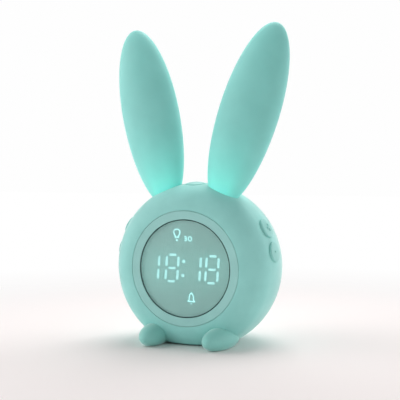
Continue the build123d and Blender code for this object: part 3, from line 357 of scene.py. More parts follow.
def lit_silicone():
    # Milky matte silicone, lit from inside at its root: the light is strongest where the
    # ear leaves the ball and dies away over its lower half. Its sides are lit less than
    # its middle, and least the outer side, which leans away from the light.
    material, tree = new_material("lit_milky_silicone")
    shader = add(
        tree,
        "ShaderNodeBsdfPrincipled",
        {
            "Base Color": mottled(tree, "#90DDD6", "#8CD9D2", 14.0),
            "Roughness": drift(tree, 0.52, 0.6, 5.0),
            "Normal": grain(tree, 0.6, 0.006),
            "IOR": 1.41,
            "Subsurface Weight": 0.25,
            "Subsurface Radius": [0.9, 1.6, 1.5],
            "Subsurface Scale": 2 * MM,
            "Sheen Weight": 0.1,
            "Sheen Roughness": 0.4,
            "Sheen Tint": linear("#EFFFFC"),
            "Emission Color": linear("#40FFE8"),
            "Emission Strength": ear_glow(tree),
        },
    )
    close_material(tree, shader)
    return material


def tinted_acrylic():
    # Clear acrylic with a smoky tint and a satin outer face: the film behind shows
    # through, veiled, and the printed light comes through almost whole.
    material, tree = new_material("tinted_satin_acrylic")
    shader = add(
        tree,
        "ShaderNodeBsdfPrincipled",
        {
            "Base Color": mottled(tree, "#ACDAD5", "#A9D7D2", 20.0),
            "Roughness": drift(tree, 0.3, 0.36, 12.0),
            "IOR": 1.49,
            "Alpha": 0.3,
        },
    )
    close_material(tree, shader)
    return material


def film_tone_and_painted_reflection(tree, parts):
    """Colour of the film, lighter on its left and a little darker toward its right: a painted reflection of
    soft light from the left.
    """
    side = add(
        tree,
        "ShaderNodeMapRange",
        {"Value": parts.outputs["X"], "From Min": -LENS_RADIUS * MM, "From Max": LENS_RADIUS * MM},
    )
    shade = add(
        tree,
        "ShaderNodeMix",
        {"Factor": side.outputs[0], "A": mottled(tree, "#C4EEE9", "#C1EBE6", 9.0), "B": linear("#ACD8D1")},
        data_type="RGBA",
    )
    return shade.outputs["Result"]


def film_halo(tree, parts):
    """Strength of the stray light, from the height above or below the row of digits."""
    rise = add(
        tree, "ShaderNodeMath", {0: parts.outputs["Z"], 1: CENTRE_HEIGHT * MM}, operation="SUBTRACT"
    )
    away = add(tree, "ShaderNodeMath", {0: rise.outputs[0]}, operation="ABSOLUTE")
    halo = add(
        tree,
        "ShaderNodeMapRange",
        {
            "Value": away.outputs[0],
            "From Min": HALO_NEAR[0] * MM,
            "From Max": HALO_FAR[0] * MM,
            "To Min": HALO_NEAR[1],
            "To Max": HALO_FAR[1],
        },
        interpolation_type="SMOOTHSTEP",
    )
    return halo.outputs[0]


def backlit_film():
    # Printed polyester film: a pale print, with a painted reflection that makes it lighter on one side and a
    # little darker toward the other, and a faint halo of stray light along the row of digits.
    material, tree = new_material("printed_polyester_film")
    place = add(tree, "ShaderNodeTexCoord")
    parts = add(tree, "ShaderNodeSeparateXYZ", {0: place.outputs["Object"]})
    shader = add(
        tree,
        "ShaderNodeBsdfPrincipled",
        {
            "Base Color": film_tone_and_painted_reflection(tree, parts),
            "Roughness": 0.5,
            "Emission Color": linear("#8CFFF2"),
            "Emission Strength": film_halo(tree, parts),
        },
    )
    close_material(tree, shader)
    return material


def lit_ink(name, strength):
    # Milky ink over a diode: even, pale aqua light.
    material, tree = new_material(name)
    shader = add(
        tree,
        "ShaderNodeBsdfPrincipled",
        {
            "Base Color": mottled(tree, "#BFF5EF", "#B8F2EC", 3.0),
            "Roughness": 0.5,
            "Emission Color": linear("#C5F8FF"),
            "Emission Strength": strength,
        },
    )
    close_material(tree, shader)
    return material


def metal(name, colour, other, roughness):
    # Plated or pressed metal, satin from handling.
    return plain_finish(name, colour, other, roughness, grain_depth=0.002, Metallic=1.0)


def make_materials():
    """Finish for each slot of the record, and for the trim that only the scene has."""
    return {
        "mint_shell": soft_touch_abs("soft_touch_coated_abs", "#9ADED8", "#96DAD4"),
        # The feet get a darker copy of the shell's finish: painted shade, for the shade under the ball.
        "mint_feet": soft_touch_abs("soft_touch_coated_abs_feet_painted_shade", "#8DD2CA", "#89CEC6"),
        "mint_keys": satin_abs("moulded_abs_keys", "#97DAD3", "#93D6CF"),
        "bezel": satin_abs("satin_moulded_abs_ring", "#A0DAD5", "#9CD6D1"),
        "mint_silicone": lit_silicone(),
        "lens": tinted_acrylic(),
        "film": backlit_film(),
        # Dark teal and dull all over: painted shade of the groove round the lens, as a ring that fills the
        # gap.
        "gasket": plain_finish("painted_groove_shade", "#04211F", "#031D1C", 0.85, Specular_IOR_Level=0.1),
        "window": lit_ink("lit_milky_ink", 0.76),
        # The icons' thin lines are lit more, so that they look as bright as the bars.
        "icon": lit_ink("lit_milky_icon_ink", 1.1),
        # Anti-slip silicone: dull, a little greyer than the shell, with a matted face.
        "pad": plain_finish("matte_antislip_silicone", "#7FB3AC", "#78ABA4", 0.75, grain_depth=0.02),
        "white_plastic": satin_abs("moulded_white_abs", "#EDEFEC", "#E6E8E5"),
        "black_plastic": satin_abs("moulded_black_plastic", "#1C1E1F", "#17191A"),
        # Glass laminate under green solder mask: a smooth, slightly wavy gloss.
        "circuit_board": plain_finish("solder_masked_laminate", "#1F6B45", "#1A6040", 0.32, patch=3.0),
        # Resin cast over the diodes: satin, and pale yellow from the phosphor in it.
        "led": satin_abs("moulded_diode_resin", "#F2E9B8", "#EEE2A6"),
        "screw": metal("zinc_plated_steel", "#B9BCBD", "#AEB2B4", 0.34),
        # Aluminium laminate foil of a pouch cell: crinkled and silvery.
        "pouch": plain_finish(
            "foil_laminate",
            "#B4B8BC",
            "#A9ADB1",
            0.36,
            patch=6.0,
            grain_size=3.0,
            grain_depth=0.08,
            Metallic=1.0,
        ),
        "steel": metal("pressed_steel", "#A7ABAE", "#9CA0A4", 0.38),
        # Pressed and dyed paper pulp: dark, dull and fibrous.
        "paper": plain_finish("pressed_paper_pulp", "#2B2A28", "#33312F", 0.85, grain_depth=0.05),
        # Cut closed-cell foam: dull, with open cells along the cut.
        "foam": plain_finish("closed_cell_foam", "#26282A", "#303234", 0.9, grain_size=0.4, grain_depth=0.08),
        # Sintered and ground ferrite: dark grey, with a faint sheen.
        "magnet": plain_finish("sintered_ferrite", "#35373A", "#2D2F31", 0.6, grain_depth=0.02),
        # Extruded vinyl sleeve over copper strands: smooth and half glossy.
        "wire": plain_finish("insulated_stranded_wire", "#A9423B", "#9E3D37", 0.45),
    }


def node_slots():
    """Slot of each CAD node, from the record."""
    return {part["node"]: part["material_slot"] for part in frame["record"]["subparts"]}


def dress_nodes(materials):
    """Gives each CAD node its finish through the object's own slots."""
    slots = node_slots()
    for name, carried in frame["nodes"].items():
        material = materials[slots[name]]
        if not carried.material_slots:
            carried.data.materials.append(None)
        for place in carried.material_slots:
            place.link = "OBJECT"
            place.material = material


# --- Shapes ---------------------------------------------------------------------------
def finished(name, mesh, replaces=()):
    """Puts a finished mesh into the scene as a piece of the casing."""
    piece = bpy.data.objects.new(name, mesh)
    bpy.context.scene.collection.objects.link(piece)
    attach(piece, "casing")
    if replaces:
        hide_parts(*replaces)


def grown(name, tree, points, material, values=None, **sizes):
    """Mesh that a geometry tree grows from some points, with its inputs set by their names."""
    seed = bpy.data.meshes.new(name)
    seed.from_pydata([tuple(p) for p in points], [], [])
    for key, numbers in (values or {}).items():
        seed.attributes.new(key, "FLOAT", "POINT").data.foreach_set("value", numbers)
    carrier = bpy.data.objects.new(name, seed)
    bpy.context.scene.collection.objects.link(carrier)
    modifier = carrier.modifiers.new(name, "NODES")
    modifier.node_group = tree
    named = {item.name: item.identifier for item in tree.interface.items_tree if item.in_out == "INPUT"}
    for key, value in sizes.items():
        modifier[named[key.replace("_", " ")]] = value
    modifier[named["Material"]] = material
    depsgraph = bpy.context.evaluated_depsgraph_get()
    mesh = bpy.data.meshes.new_from_object(carrier.evaluated_get(depsgraph))
    bpy.data.objects.remove(carrier)
    mesh.materials.clear()
    mesh.materials.append(material)
    mesh.polygons.foreach_set("material_index", [0] * len(mesh.polygons))
    mesh.name = name
    return mesh


def new_tree(name, sizes):
    """Empty geometry tree with a geometry, a material and some sizes as its inputs."""
    tree = bpy.data.node_groups.new(name, "GeometryNodeTree")
    tree.interface.new_socket("Geometry", in_out="INPUT", socket_type="NodeSocketGeometry")
    tree.interface.new_socket("Geometry", in_out="OUTPUT", socket_type="NodeSocketGeometry")
    tree.interface.new_socket("Material", in_out="INPUT", socket_type="NodeSocketMaterial")
    for size in sizes:
        tree.interface.new_socket(size, in_out="INPUT", socket_type="NodeSocketFloat")
    return tree, add(tree, "NodeGroupInput")


def close_tree(tree, start, geometry):
    """Realizes, paints and returns what the tree has made."""
    real = add(tree, "GeometryNodeRealizeInstances", {"Geometry": geometry})
    painted = add(
        tree,
        "GeometryNodeSetMaterial",
        {"Geometry": real.outputs[0], "Material": start.outputs["Material"]},
    )
    add(tree, "NodeGroupOutput", {0: painted.outputs[0]})


def egg_place(tree, start, parts):
    """Place of a point of the unit ball on the egg form."""
    above = add(tree, "ShaderNodeMath", {0: parts.outputs["Z"], 1: 0.0}, operation="GREATER_THAN")
    length = add(
        tree,
        "ShaderNodeMapRange",
        {
            "Value": above.outputs[0],
            "To Min": start.outputs["Lower Length"],
            "To Max": start.outputs["Upper Length"],
        },
    )
    reaches = (start.outputs["Half Width"], start.outputs["Half Thickness"], length.outputs[0])
    spot = add(tree, "ShaderNodeCombineXYZ")
    for axis, reach in enumerate(reaches):
        along = add(tree, "ShaderNodeMath", {0: parts.outputs[axis], 1: reach}, operation="MULTIPLY")
        tree.links.new(along.outputs[0], spot.inputs[axis])
    return spot.outputs[0]


def egg_rise(tree, start, parts):
    """Height on the finished egg form as a share of what shows of it, from 0 to 1."""
    height = add(tree, "ShaderNodeMath", {0: parts.outputs["Z"], 1: start.outputs["Rise"]}, operation="ADD")
    whole = add(
        tree,
        "ShaderNodeMath",
        {0: start.outputs["Rise"], 1: start.outputs["Upper Length"]},
        operation="ADD",
    )
    share = add(tree, "ShaderNodeMath", {0: height.outputs[0], 1: whole.outputs[0]}, operation="DIVIDE")
    return share.outputs[0]


def egg_edge(tree, start, parts):
    """From -1 at one edge of the finished egg form to 1 at the other, whatever its width there."""
    flat = add(tree, "ShaderNodeCombineXYZ")
    for axis, size in enumerate(("Half Width", "Half Thickness")):
        whole = start.outputs[size]
        share = add(tree, "ShaderNodeMath", {0: parts.outputs[axis], 1: whole}, operation="DIVIDE")
        tree.links.new(share.outputs[0], flat.inputs[axis])
    unit = add(tree, "ShaderNodeVectorMath", {0: flat.outputs[0]}, operation="NORMALIZE")
    edge = add(tree, "ShaderNodeSeparateXYZ", {0: unit.outputs[0]})
    return edge.outputs["X"]


def egg_tree():
    """Round form with its own half width and half thickness, and its own length each way."""
    tree, start = new_tree(
        "egg_form", ["Half Width", "Half Thickness", "Upper Length", "Lower Length", "Rise"]
    )
    ball = add(
        tree,
        "GeometryNodeMeshUVSphere",
        {"Segments": EGG_SEGMENTS, "Rings": EGG_RINGS, "Radius": 1.0},
    )
    place = add(tree, "GeometryNodeInputPosition")
    parts = add(tree, "ShaderNodeSeparateXYZ", {0: place.outputs[0]})
    spot = egg_place(tree, start, parts)
    shaped = add(tree, "GeometryNodeSetPosition", {"Geometry": ball.outputs[0], "Position": spot})
    geometry = shaped.outputs[0]
    # Both are read after the move, so they are those of the finished form.
    marks = (("rise", egg_rise(tree, start, parts)), ("edge", egg_edge(tree, start, parts)))
    for name, value in marks:
        marked = add(
            tree,
            "GeometryNodeStoreNamedAttribute",
            {"Geometry": geometry, "Name": name, "Value": value},
            data_type="FLOAT",
            domain="POINT",
        )
        geometry = marked.outputs[0]
    smooth = add(tree, "GeometryNodeSetShadeSmooth", {"Geometry": geometry})
    close_tree(tree, start, smooth.outputs[0])
    return tree


def skin_place(point):
    """Point just under the ball's skin for one that lies deeper inside. Others stay."""
    reach = math.hypot(point.x, point.z)
    shoulder_y = SHOULDER_RADIUS - FACE_REACH
    if point.y * FACE_RADIUS > shoulder_y * reach:
        centre = Vector((0, 0, 0))
        radius = BALL_RADIUS - SINK
    else:
        outward = max(reach, 1.0)
        centre = Vector((point.x * FACE_RADIUS / outward, shoulder_y, point.z * FACE_RADIUS / outward))
        radius = SHOULDER_RADIUS - SINK
        if reach < FACE_RADIUS:
            centre = Vector((point.x, shoulder_y, point.z))
    away = point - centre
    if away.length >= radius:
        return point
    return centre + away.normalized() * radius


def fitted_to_ball(mesh):
    """Brings a mesh's buried part up to just under the ball's skin, and flattens it at the table."""
    for vertex in mesh.vertices:
        about = vertex.co / MM - Vector((0, 0, CENTRE_HEIGHT))
        place = skin_place(about)
        place.z = max(place.z, -CENTRE_HEIGHT)
        vertex.co = frame_point(*place)
    mesh.update()
    return mesh


def turned_outward(mesh):
    """Merges the doubles of a closed mesh and turns its faces outwards, also after a mirror."""
    shape = bmesh.new()
    shape.from_mesh(mesh)
    bmesh.ops.remove_doubles(shape, verts=shape.verts, dist=MERGE_DISTANCE * MM)
    bmesh.ops.recalc_face_normals(shape, faces=shape.faces)
    shape.to_mesh(mesh)
    shape.free()
    return mesh


def ear(side, tree, material):
    """Long silicone ear, on the right where side is 1 and on the left where it is -1."""
    mesh = grown(
        "ear",
        tree,
        [(0, 0, 0)],
        material,
        Half_Width=EAR_HALF_WIDTH * MM,
        Half_Thickness=EAR_HALF_THICKNESS * MM,
        Upper_Length=EAR_UPPER_LENGTH * MM,
        Lower_Length=EAR_LOWER_LENGTH * MM,
        Rise=EAR_RISE * MM,
    )
    outward = math.radians(EAR_ROOT_SIDE)
    forward = math.radians(EAR_ROOT_FRONT)
    root = Vector(
        (
            BALL_RADIUS * math.cos(forward) * math.sin(outward),
            -BALL_RADIUS * math.sin(forward),
            BALL_RADIUS * math.cos(forward) * math.cos(outward),
        )
    )
    turn = Matrix.Rotation(math.radians(EAR_SPLAY), 4, "Y") @ Matrix.Rotation(math.radians(-EAR_LEAN), 4, "X")
    place = Matrix.Translation(frame_point(*root)) @ turn @ Matrix.Translation((0, 0, EAR_RISE * MM))
    mesh.transform(place)
    if side < 0:
        mesh.transform(Matrix.Scale(-1, 4, (1, 0, 0)))
    mesh = turned_outward(fitted_to_ball(mesh))
    name = "right" if side > 0 else "left"
    finished(f"{name}_ear_skin", mesh, replaces=[f"{name}_ear"])


def foot(side, tree, material):
    """Egg-shaped foot, flat where it stands on the table."""
    mesh = grown(
        "foot",
        tree,
        [(0, 0, 0)],
        material,
        Half_Width=FOOT_HALF_WIDTH * MM,
        Half_Thickness=FOOT_HALF_LENGTH * MM,
        Upper_Length=FOOT_HALF_HEIGHT * MM,
        Lower_Length=FOOT_HALF_HEIGHT * MM,
        Rise=FOOT_HALF_HEIGHT * MM,
    )
    place = Matrix.Translation(Vector((FOOT_X, FOOT_Y, FOOT_Z)) * MM)
    mesh.transform(place @ Matrix.Rotation(math.radians(-FOOT_TOE_IN), 4, "Z"))
    if side < 0:
        mesh.transform(Matrix.Scale(-1, 4, (1, 0, 0)))
    mesh = turned_outward(fitted_to_ball(mesh))
    name = "right" if side > 0 else "left"
    finished(f"{name}_foot_shell", mesh, replaces=[f"{name}_foot"])


def seal_ring(shape, offset):
    """Ring in the gap round one right-hand key, at a height above the middle of the pair."""
    up = math.radians(KEY_ELEVATION)
    back = math.radians(KEY_LEAN)
    outward = Vector((math.cos(back) * math.cos(up), math.sin(back), math.cos(back) * math.sin(up)))
    along = Vector((-math.sin(up), 0, math.cos(up)))
    across = outward.cross(along)
    inner = KEY_RADIUS + SEAL_CLEAR
    outer = KEY_RADIUS + KEY_GAP - SEAL_CLEAR
    rows = []
    for radius, under in ((inner, 0.0), (outer, 0.0), (outer, SEAL_DEPTH), (inner, SEAL_DEPTH)):
        row = []
        for step in range(SEAL_SIDES):
            turn = 2 * math.pi * step / SEAL_SIDES
            level = along * (offset + radius * math.cos(turn)) + across * radius * math.sin(turn)
            height = math.sqrt((BALL_RADIUS - SEAL_SINK) ** 2 - level.length_squared) - under
            row.append(shape.verts.new(frame_point(*(level + outward * height))))
        rows.append(row)
    for here, there in zip(rows, rows[1:] + rows[:1]):
        for i in range(SEAL_SIDES):
            j = (i + 1) % SEAL_SIDES
            shape.faces.new((here[i], here[j], there[j], there[i]))


def key_seals(material):
    """Soft lips that fill the gaps round the side keys of both sides, just under the skin."""
    shape = bmesh.new()
    for offset in (KEY_PITCH / 2, -KEY_PITCH / 2):
        seal_ring(shape, offset)
    bmesh.ops.duplicate(shape, geom=shape.verts[:] + shape.edges[:] + shape.faces[:])
    half = len(shape.verts) // 2
    for vertex in shape.verts[:][half:]:
        vertex.co.x = -vertex.co.x
    bmesh.ops.recalc_face_normals(shape, faces=shape.faces)
    finished("key_seals", edited_mesh("key_seals", shape, material))


# --- Display --------------------------------------------------------------------------
def bar_tree():
    """Pill-shaped bar on each point, turned and stretched as the point says."""
    tree, start = new_tree("lit_bars", ["Length", "Width", "Depth"])
    outline = add(
        tree,
        "GeometryNodeCurvePrimitiveQuadrilateral",
        {"Width": start.outputs["Length"], "Height": start.outputs["Width"]},
    )
    corner = add(
        tree, "ShaderNodeMath", {0: start.outputs["Width"], 1: BAR_ROUNDING}, operation="MULTIPLY"
    )
    rounded = add(
        tree,
        "GeometryNodeFilletCurve",
        {"Curve": outline.outputs[0], "Radius": corner.outputs[0], "Count": BAR_CORNER_POINTS},
        mode="POLY",
    )
    filled = add(tree, "GeometryNodeFillCurve", {"Curve": rounded.outputs[0]}, mode="NGONS")
    thick = add(
        tree,
        "GeometryNodeExtrudeMesh",
        {"Mesh": filled.outputs[0], "Offset Scale": start.outputs["Depth"]},
    )
    upright = add(
        tree,
        "GeometryNodeTransform",
        {"Geometry": thick.outputs[0], "Rotation": (math.pi / 2, 0, 0)},
    )
    turn = add(tree, "GeometryNodeInputNamedAttribute", {"Name": "turn"}, data_type="FLOAT")
    stretch = add(tree, "GeometryNodeInputNamedAttribute", {"Name": "stretch"}, data_type="FLOAT")
    rotation = add(tree, "ShaderNodeCombineXYZ", {1: turn.outputs[0]})
    scale = add(tree, "ShaderNodeCombineXYZ", {0: stretch.outputs[0], 1: 1.0, 2: 1.0})
    placed = add(
        tree,
        "GeometryNodeInstanceOnPoints",
        {
            "Points": start.outputs["Geometry"],
            "Instance": upright.outputs[0],
            "Rotation": rotation.outputs[0],
            "Scale": scale.outputs[0],
        },
    )
    close_tree(tree, start, placed.outputs[0])
    return tree


def digit_bar_places(parts):
    """Place, turn and stretch of the named bars of one digit about its middle."""
    slant = math.radians(DIGIT_SLANT)
    spots = {
        "a": (0, DIGIT_RISE, False),
        "b": (DIGIT_REACH, DIGIT_RISE / 2, True),
        "c": (DIGIT_REACH, -DIGIT_RISE / 2, True),
        "d": (0, -DIGIT_RISE, False),
        "e": (-DIGIT_REACH, -DIGIT_RISE / 2, True),
        "f": (-DIGIT_REACH, DIGIT_RISE / 2, True),
        "g": (0, 0, False),
    }
    found = []
    for part in parts:
        x, z, upright = spots[part]
        turn = math.pi / 2 + slant if upright else 0.0
        stretch = 1.0 if upright else LEVEL_BAR_SHARE
        found.append((x + z * math.tan(slant), z, turn, stretch))
    return found


def lit_digits(material):
    """All bars of the lit digits on the film, as one mesh."""
    places = []
    for centre, parts in zip(DIGIT_CENTRES, (HALF_DIGIT_PARTS, FULL_DIGIT_PARTS) * 2):
        places += [(centre + x, z, turn, stretch) for x, z, turn, stretch in digit_bar_places(parts)]
    points = [frame_point(x, -FILM_FRONT, z) for x, z, _, _ in places]
    values = {"turn": [place[2] for place in places], "stretch": [place[3] for place in places]}
    return grown(
        "lit_digits",
        bar_tree(),
        points,
        material,
        values,
        Length=BAR_LENGTH * MM,
        Width=BAR_WIDTH * MM,
        Depth=LIT_DEPTH * MM,
    )


def stroke(shape, points, width, closed):
    """Flat band of a width along a line of points on the film, drawn just proud of it."""
    front = -FILM_FRONT - LIT_DEPTH
    count = len(points)
    rows = []
    for index, (x, z) in enumerate(points):
        before = points[index - 1] if closed or index else points[index]
        after = points[(index + 1) % count] if closed or index < count - 1 else points[index]
        along = Vector((after[0] - before[0], after[1] - before[1])).normalized()
        side = Vector((-along.y, along.x)) * width / 2
        rows.append(
            (
                shape.verts.new(frame_point(x + side.x, front, z + side.y)),
                shape.verts.new(frame_point(x - side.x, front, z - side.y)),
            )
        )
    for index in range(count if closed else count - 1):
        here, there = rows[index], rows[(index + 1) % count]
        shape.faces.new((here[0], here[1], there[1], there[0]))


def dot(shape, x, z, radius):
    """Flat disc just proud of the film."""
    front = -FILM_FRONT - LIT_DEPTH
    turns = [2 * math.pi * i / DOT_SIDES for i in range(DOT_SIDES)]
    spots = [(x + radius * math.cos(t), front, z + radius * math.sin(t)) for t in turns]
    shape.faces.new([shape.verts.new(frame_point(*spot)) for spot in spots])


def shifted(points, x, z):
    """The same points about another middle."""
    return [(x + px, z + pz) for px, pz in points]


def bulb_icon(shape):
    """Outline of a light bulb with its neck and cap, and its contact below."""
    opening = math.radians(BULB_OPENING)
    first = opening - math.pi / 2
    sweep = 2 * math.pi - 2 * opening
    turns = [first + sweep * i / BULB_STEPS for i in range(BULB_STEPS + 1)]
    head = [(BULB_SPREAD * BULB_RADIUS * math.cos(t), BULB_RADIUS * math.sin(t)) for t in turns]
    neck, foot = BULB_NECK
    cap, under = BULB_CAP
    drop, radius = BULB_CONTACT
    stroke(shape, shifted([(-neck, foot), *reversed(head), (neck, foot)], BULB_X, BULB_Z), ICON_LINE, False)
    stroke(shape, shifted([(-cap, under), (cap, under)], BULB_X, BULB_Z), ICON_LINE, False)
    dot(shape, BULB_X, BULB_Z + drop, radius)


def small_digit(line, x, reach):
    """Line of a small digit, from shares of its reach and rise."""
    return [(x + across * reach, TIMER_Z + up * TIMER_RISE) for across, up in line]


def timer_icon(shape):
    """Small 3 and 0 beside the light bulb."""
    for line in (THREE_UPPER, THREE_LOWER):
        stroke(shape, small_digit(line, TIMER_X[0], TIMER_REACH[0]), TIMER_LINE, False)
    stroke(shape, small_digit(ZERO_LINE, TIMER_X[1], TIMER_REACH[1]), TIMER_LINE, True)


def bell_icon(shape):
    """Outline of a bell with a knob on top, the line of its rim and a clapper."""
    left = [(-x, z) for x, z in reversed(BELL_SIDE)]
    stroke(shape, shifted([*left, *BELL_SIDE], BELL_X, BELL_BASE_Z), BELL_LINE, False)
    stroke(shape, shifted([(-BELL_RIM, 0), (BELL_RIM, 0)], BELL_X, BELL_BASE_Z), ICON_LINE, False)
    for height, radius in (BELL_KNOB, BELL_CLAPPER):
        dot(shape, BELL_X, BELL_BASE_Z + height, radius)


def colon_dots(shape):
    """Two dots between the hours and the minutes, on the digits' slant."""
    for side in (1, -1):
        x = COLON_X + side * COLON_RISE * math.tan(math.radians(DIGIT_SLANT))
        dot(shape, x, side * COLON_RISE, DOT_WIDTH / 2)


def printed(name, drawings, material):
    """Flat shapes on the film, all facing the front."""
    shape = bmesh.new()
    for draw in drawings:
        draw(shape)
    bmesh.ops.recalc_face_normals(shape, faces=shape.faces)
    for face in shape.faces:
        if face.normal.y > 0:
            face.normal_flip()
    finished(name, edited_mesh(name, shape, material))


def edited_mesh(name, shape, material):
    """Turns an edited shape into a mesh with one material."""
    mesh = bpy.data.meshes.new(name)
    shape.to_mesh(mesh)
    shape.free()
    mesh.materials.append(material)
    return mesh


def turned(name, outline, material):
    """Disc or ring about the display's axis, from the radius and depth of each edge."""
    shape = bmesh.new()
    rows = []
    for radius, front in outline:
        count = TURNED_SIDES if radius else 1
        turns = [2 * math.pi * i / TURNED_SIDES for i in range(count)]
        spots = [(radius * math.cos(t), -front, radius * math.sin(t)) for t in turns]
        rows.append([shape.verts.new(frame_point(*spot)) for spot in spots])
    for here, there in zip(rows, rows[1:] + rows[:1]):
        for i in range(TURNED_SIDES):
            j = (i + 1) % TURNED_SIDES
            corners = [here[i % len(here)], here[j % len(here)], there[j % len(there)], there[i % len(there)]]
            corners = list(dict.fromkeys(corners))
            if len(corners) > 2:
                shape.faces.new(corners)
    bmesh.ops.recalc_face_normals(shape, faces=shape.faces)
    return edited_mesh(name, shape, material)


def plate_outline(radius, front, thickness, edge):
    """Radius and depth along a round plate with a small slope on its front edge."""
    middle = radius / 2
    back = front - thickness
    return [
        (0, front),
        (middle, front),
        (radius - edge, front),
        (radius, front - edge),
        (radius, back),
        (0, back),
    ]


def gasket_outline():
    """Flat dark ring of painted shade that fills the gap round the lens and laps over its edge."""
    outer = LENS_RADIUS + LENS_GAP - SHADE_RING_CLEAR
    inner = outer - SHADE_RING_WIDTH
    wall = LENS_RADIUS + SHADE_RING_CLEAR
    front = LENS_FRONT + SHADE_RING_PROUD
    lap = LENS_FRONT + SHADE_RING_CLEAR
    back = LENS_FRONT - SHADE_RING_DEPTH
    return [(inner, front), (outer, front), (outer, back), (wall, back), (wall, lap), (inner, lap)]


def display(materials):
    """Lit digits and icons on a printed film behind a tinted lens."""
    lit = materials["window"]
    finished("lit_digits", lit_digits(lit), replaces=["window_inserts"])
    printed("lit_icons", (bulb_icon, timer_icon, bell_icon), materials["icon"])
    printed("lit_colon", (colon_dots,), lit)
    outline = plate_outline(LENS_RADIUS, FILM_FRONT, FILM_THICKNESS, FILM_EDGE)
    film = turned("printed_film", outline, materials["film"])
    finished("printed_film", film, replaces=["mask_film"])
    thickness = LENS_FRONT - FILM_FRONT - LIT_DEPTH - LIT_CLEAR
    outline = plate_outline(LENS_RADIUS, LENS_FRONT, thickness, LENS_EDGE)
    lens = turned("tinted_lens", outline, materials["lens"])
    finished("tinted_lens", lens, replaces=["display_lens"])
    # Dark ring of painted shade in the groove round the lens.
    gasket = turned("lens_gasket", gasket_outline(), materials["gasket"])
    finished("lens_gasket", gasket)


# --- Stage, light and camera ----------------------------------------------------------
def pale_table_top():
    # Matt, slightly warm white board, as plain as paper. Further from the clock the camera,
    # metal and glass see white instead, so that it ends nowhere.
    material, tree = new_material("pale_table_top")
    place = add(tree, "ShaderNodeTexCoord")
    away = add(
        tree,
        "ShaderNodeVectorMath",
        {0: place.outputs["Object"], 1: FADE_CENTRE},
        operation="DISTANCE",
    )
    far = add(
        tree,
        "ShaderNodeMapRange",
        {"Value": away.outputs["Value"], "From Min": TINT_START, "From Max": TINT_END},
    )
    colour = add(
        tree,
        "ShaderNodeMix",
        {"Factor": far.outputs[0], "A": linear("#F3EFEE"), "B": linear("#FFFFFF")},
        data_type="RGBA",
    )
    share = add(
        tree,
        "ShaderNodeMapRange",
        {"Value": away.outputs["Value"], "From Min": FADE_START, "From Max": FADE_END},
        interpolation_type="SMOOTHSTEP",
    )
    shown = add(tree, "ShaderNodeMath", {0: seen_directly(tree), 1: share.outputs[0]}, operation="MULTIPLY")
    diffuse = add(tree, "ShaderNodeBsdfDiffuse", {"Color": linear("#FBF3F2")})
    glow = add(tree, "ShaderNodeEmission", {"Color": colour.outputs["Result"], "Strength": 1.0})
    mix = add(tree, "ShaderNodeMixShader", {0: shown.outputs[0], 1: diffuse.outputs[0], 2: glow.outputs[0]})
    close_material(tree, mix)
    return material


def floor():
    """Pale table top that fades into the white background all round."""
    bpy.ops.mesh.primitive_plane_add(size=TABLE_WIDTH, location=(0, 0, -TABLE_DROP))
    table = bpy.context.object
    table.name = "table_top"
    table.data.materials.append(pale_table_top())


def room_lobe(tree, place, direction, level, sharpness):
    """Light that comes mostly from one side of the room."""
    toward = add(
        tree,
        "ShaderNodeVectorMath",
        {0: place.outputs["Generated"], 1: Vector(direction).normalized()},
        operation="DOT_PRODUCT",
    )
    front = add(tree, "ShaderNodeMath", {0: toward.outputs["Value"], 1: 0.0}, operation="MAXIMUM")
    shaped = add(tree, "ShaderNodeMath", {0: front.outputs[0], 1: sharpness}, operation="POWER")
    return add(tree, "ShaderNodeMath", {0: shaped.outputs[0], 1: level}, operation="MULTIPLY")


def seen_directly(tree):
    """One for what the camera, metal and glass see, and zero for light that falls on the clock."""
    rays = add(tree, "ShaderNodeLightPath")
    total = rays.outputs["Is Camera Ray"]
    for kind in ("Is Glossy Ray", "Is Transmission Ray"):
        total = add(tree, "ShaderNodeMath", {0: total, 1: rays.outputs[kind]}, operation="MAXIMUM").outputs[0]
    return total


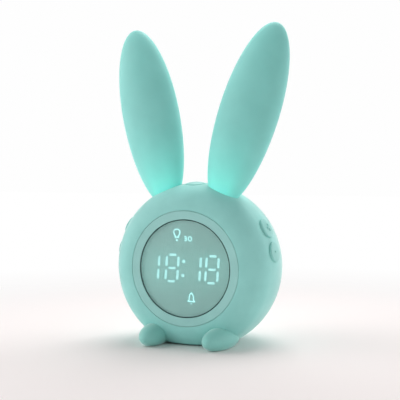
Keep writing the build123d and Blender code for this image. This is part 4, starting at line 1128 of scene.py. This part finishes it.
def sky():
    """White room whose walls throw more light from some sides than from others."""
    world = bpy.data.worlds.new("white_room")
    world.use_nodes = True
    tree = world.node_tree
    tree.nodes.clear()
    place = add(tree, "ShaderNodeTexCoord")
    total, *others = [room_lobe(tree, place, *lobe) for lobe in ROOM_LOBES]
    for lobe in others:
        total = add(tree, "ShaderNodeMath", {0: total.outputs[0], 1: lobe.outputs[0]}, operation="ADD")
    light = add(tree, "ShaderNodeBackground", {"Color": linear("#FFFFFF"), "Strength": total.outputs[0]})
    white = add(tree, "ShaderNodeBackground", {"Color": linear("#FEFEFE"), "Strength": 1.0})
    mix = add(
        tree,
        "ShaderNodeMixShader",
        {0: seen_directly(tree), 1: light.outputs[0], 2: white.outputs[0]},
    )
    add(tree, "ShaderNodeOutputWorld", {"Surface": mix.outputs[0]})
    bpy.context.scene.world = world


def softbox(name, place, size, power):
    """Soft square lamp that looks at the clock, kept out of the camera's sight."""
    data = bpy.data.lights.new(name, "AREA")
    data.shape = "SQUARE"
    data.size = size
    data.energy = power
    item = bpy.data.objects.new(name, data)
    item.location = place
    item.rotation_euler = (Vector(SOFTBOX_AIM) - Vector(place)).to_track_quat("-Z", "Y").to_euler()
    item.visible_camera = False
    bpy.context.scene.collection.objects.link(item)


def camera():
    """Camera a little above the display, to its right."""
    data = bpy.data.cameras.new("camera")
    data.lens = CAMERA_LENS
    data.sensor_width = CAMERA_SENSOR
    item = bpy.data.objects.new("camera", data)
    item.location = CAMERA_PLACE
    item.rotation_euler = (math.radians(90 - CAMERA_DIP), 0, math.radians(CAMERA_TURN))
    bpy.context.scene.collection.objects.link(item)
    bpy.context.scene.camera = item


# --- Scene ----------------------------------------------------------------------------
bpy.context.scene.view_settings.view_transform = "Standard"
for leftover in ("Cube", "Light", "Camera"):
    if leftover in bpy.data.objects:
        bpy.data.objects.remove(bpy.data.objects[leftover])

finishes = make_materials()
dress_nodes(finishes)
egg = egg_tree()
for side in (1, -1):
    ear(side, egg, finishes["mint_silicone"])
    foot(side, egg, finishes["mint_feet"])
key_seals(finishes["mint_shell"])
display(finishes)
floor()
sky()
for box in SOFTBOXES:
    softbox(*box)
camera()
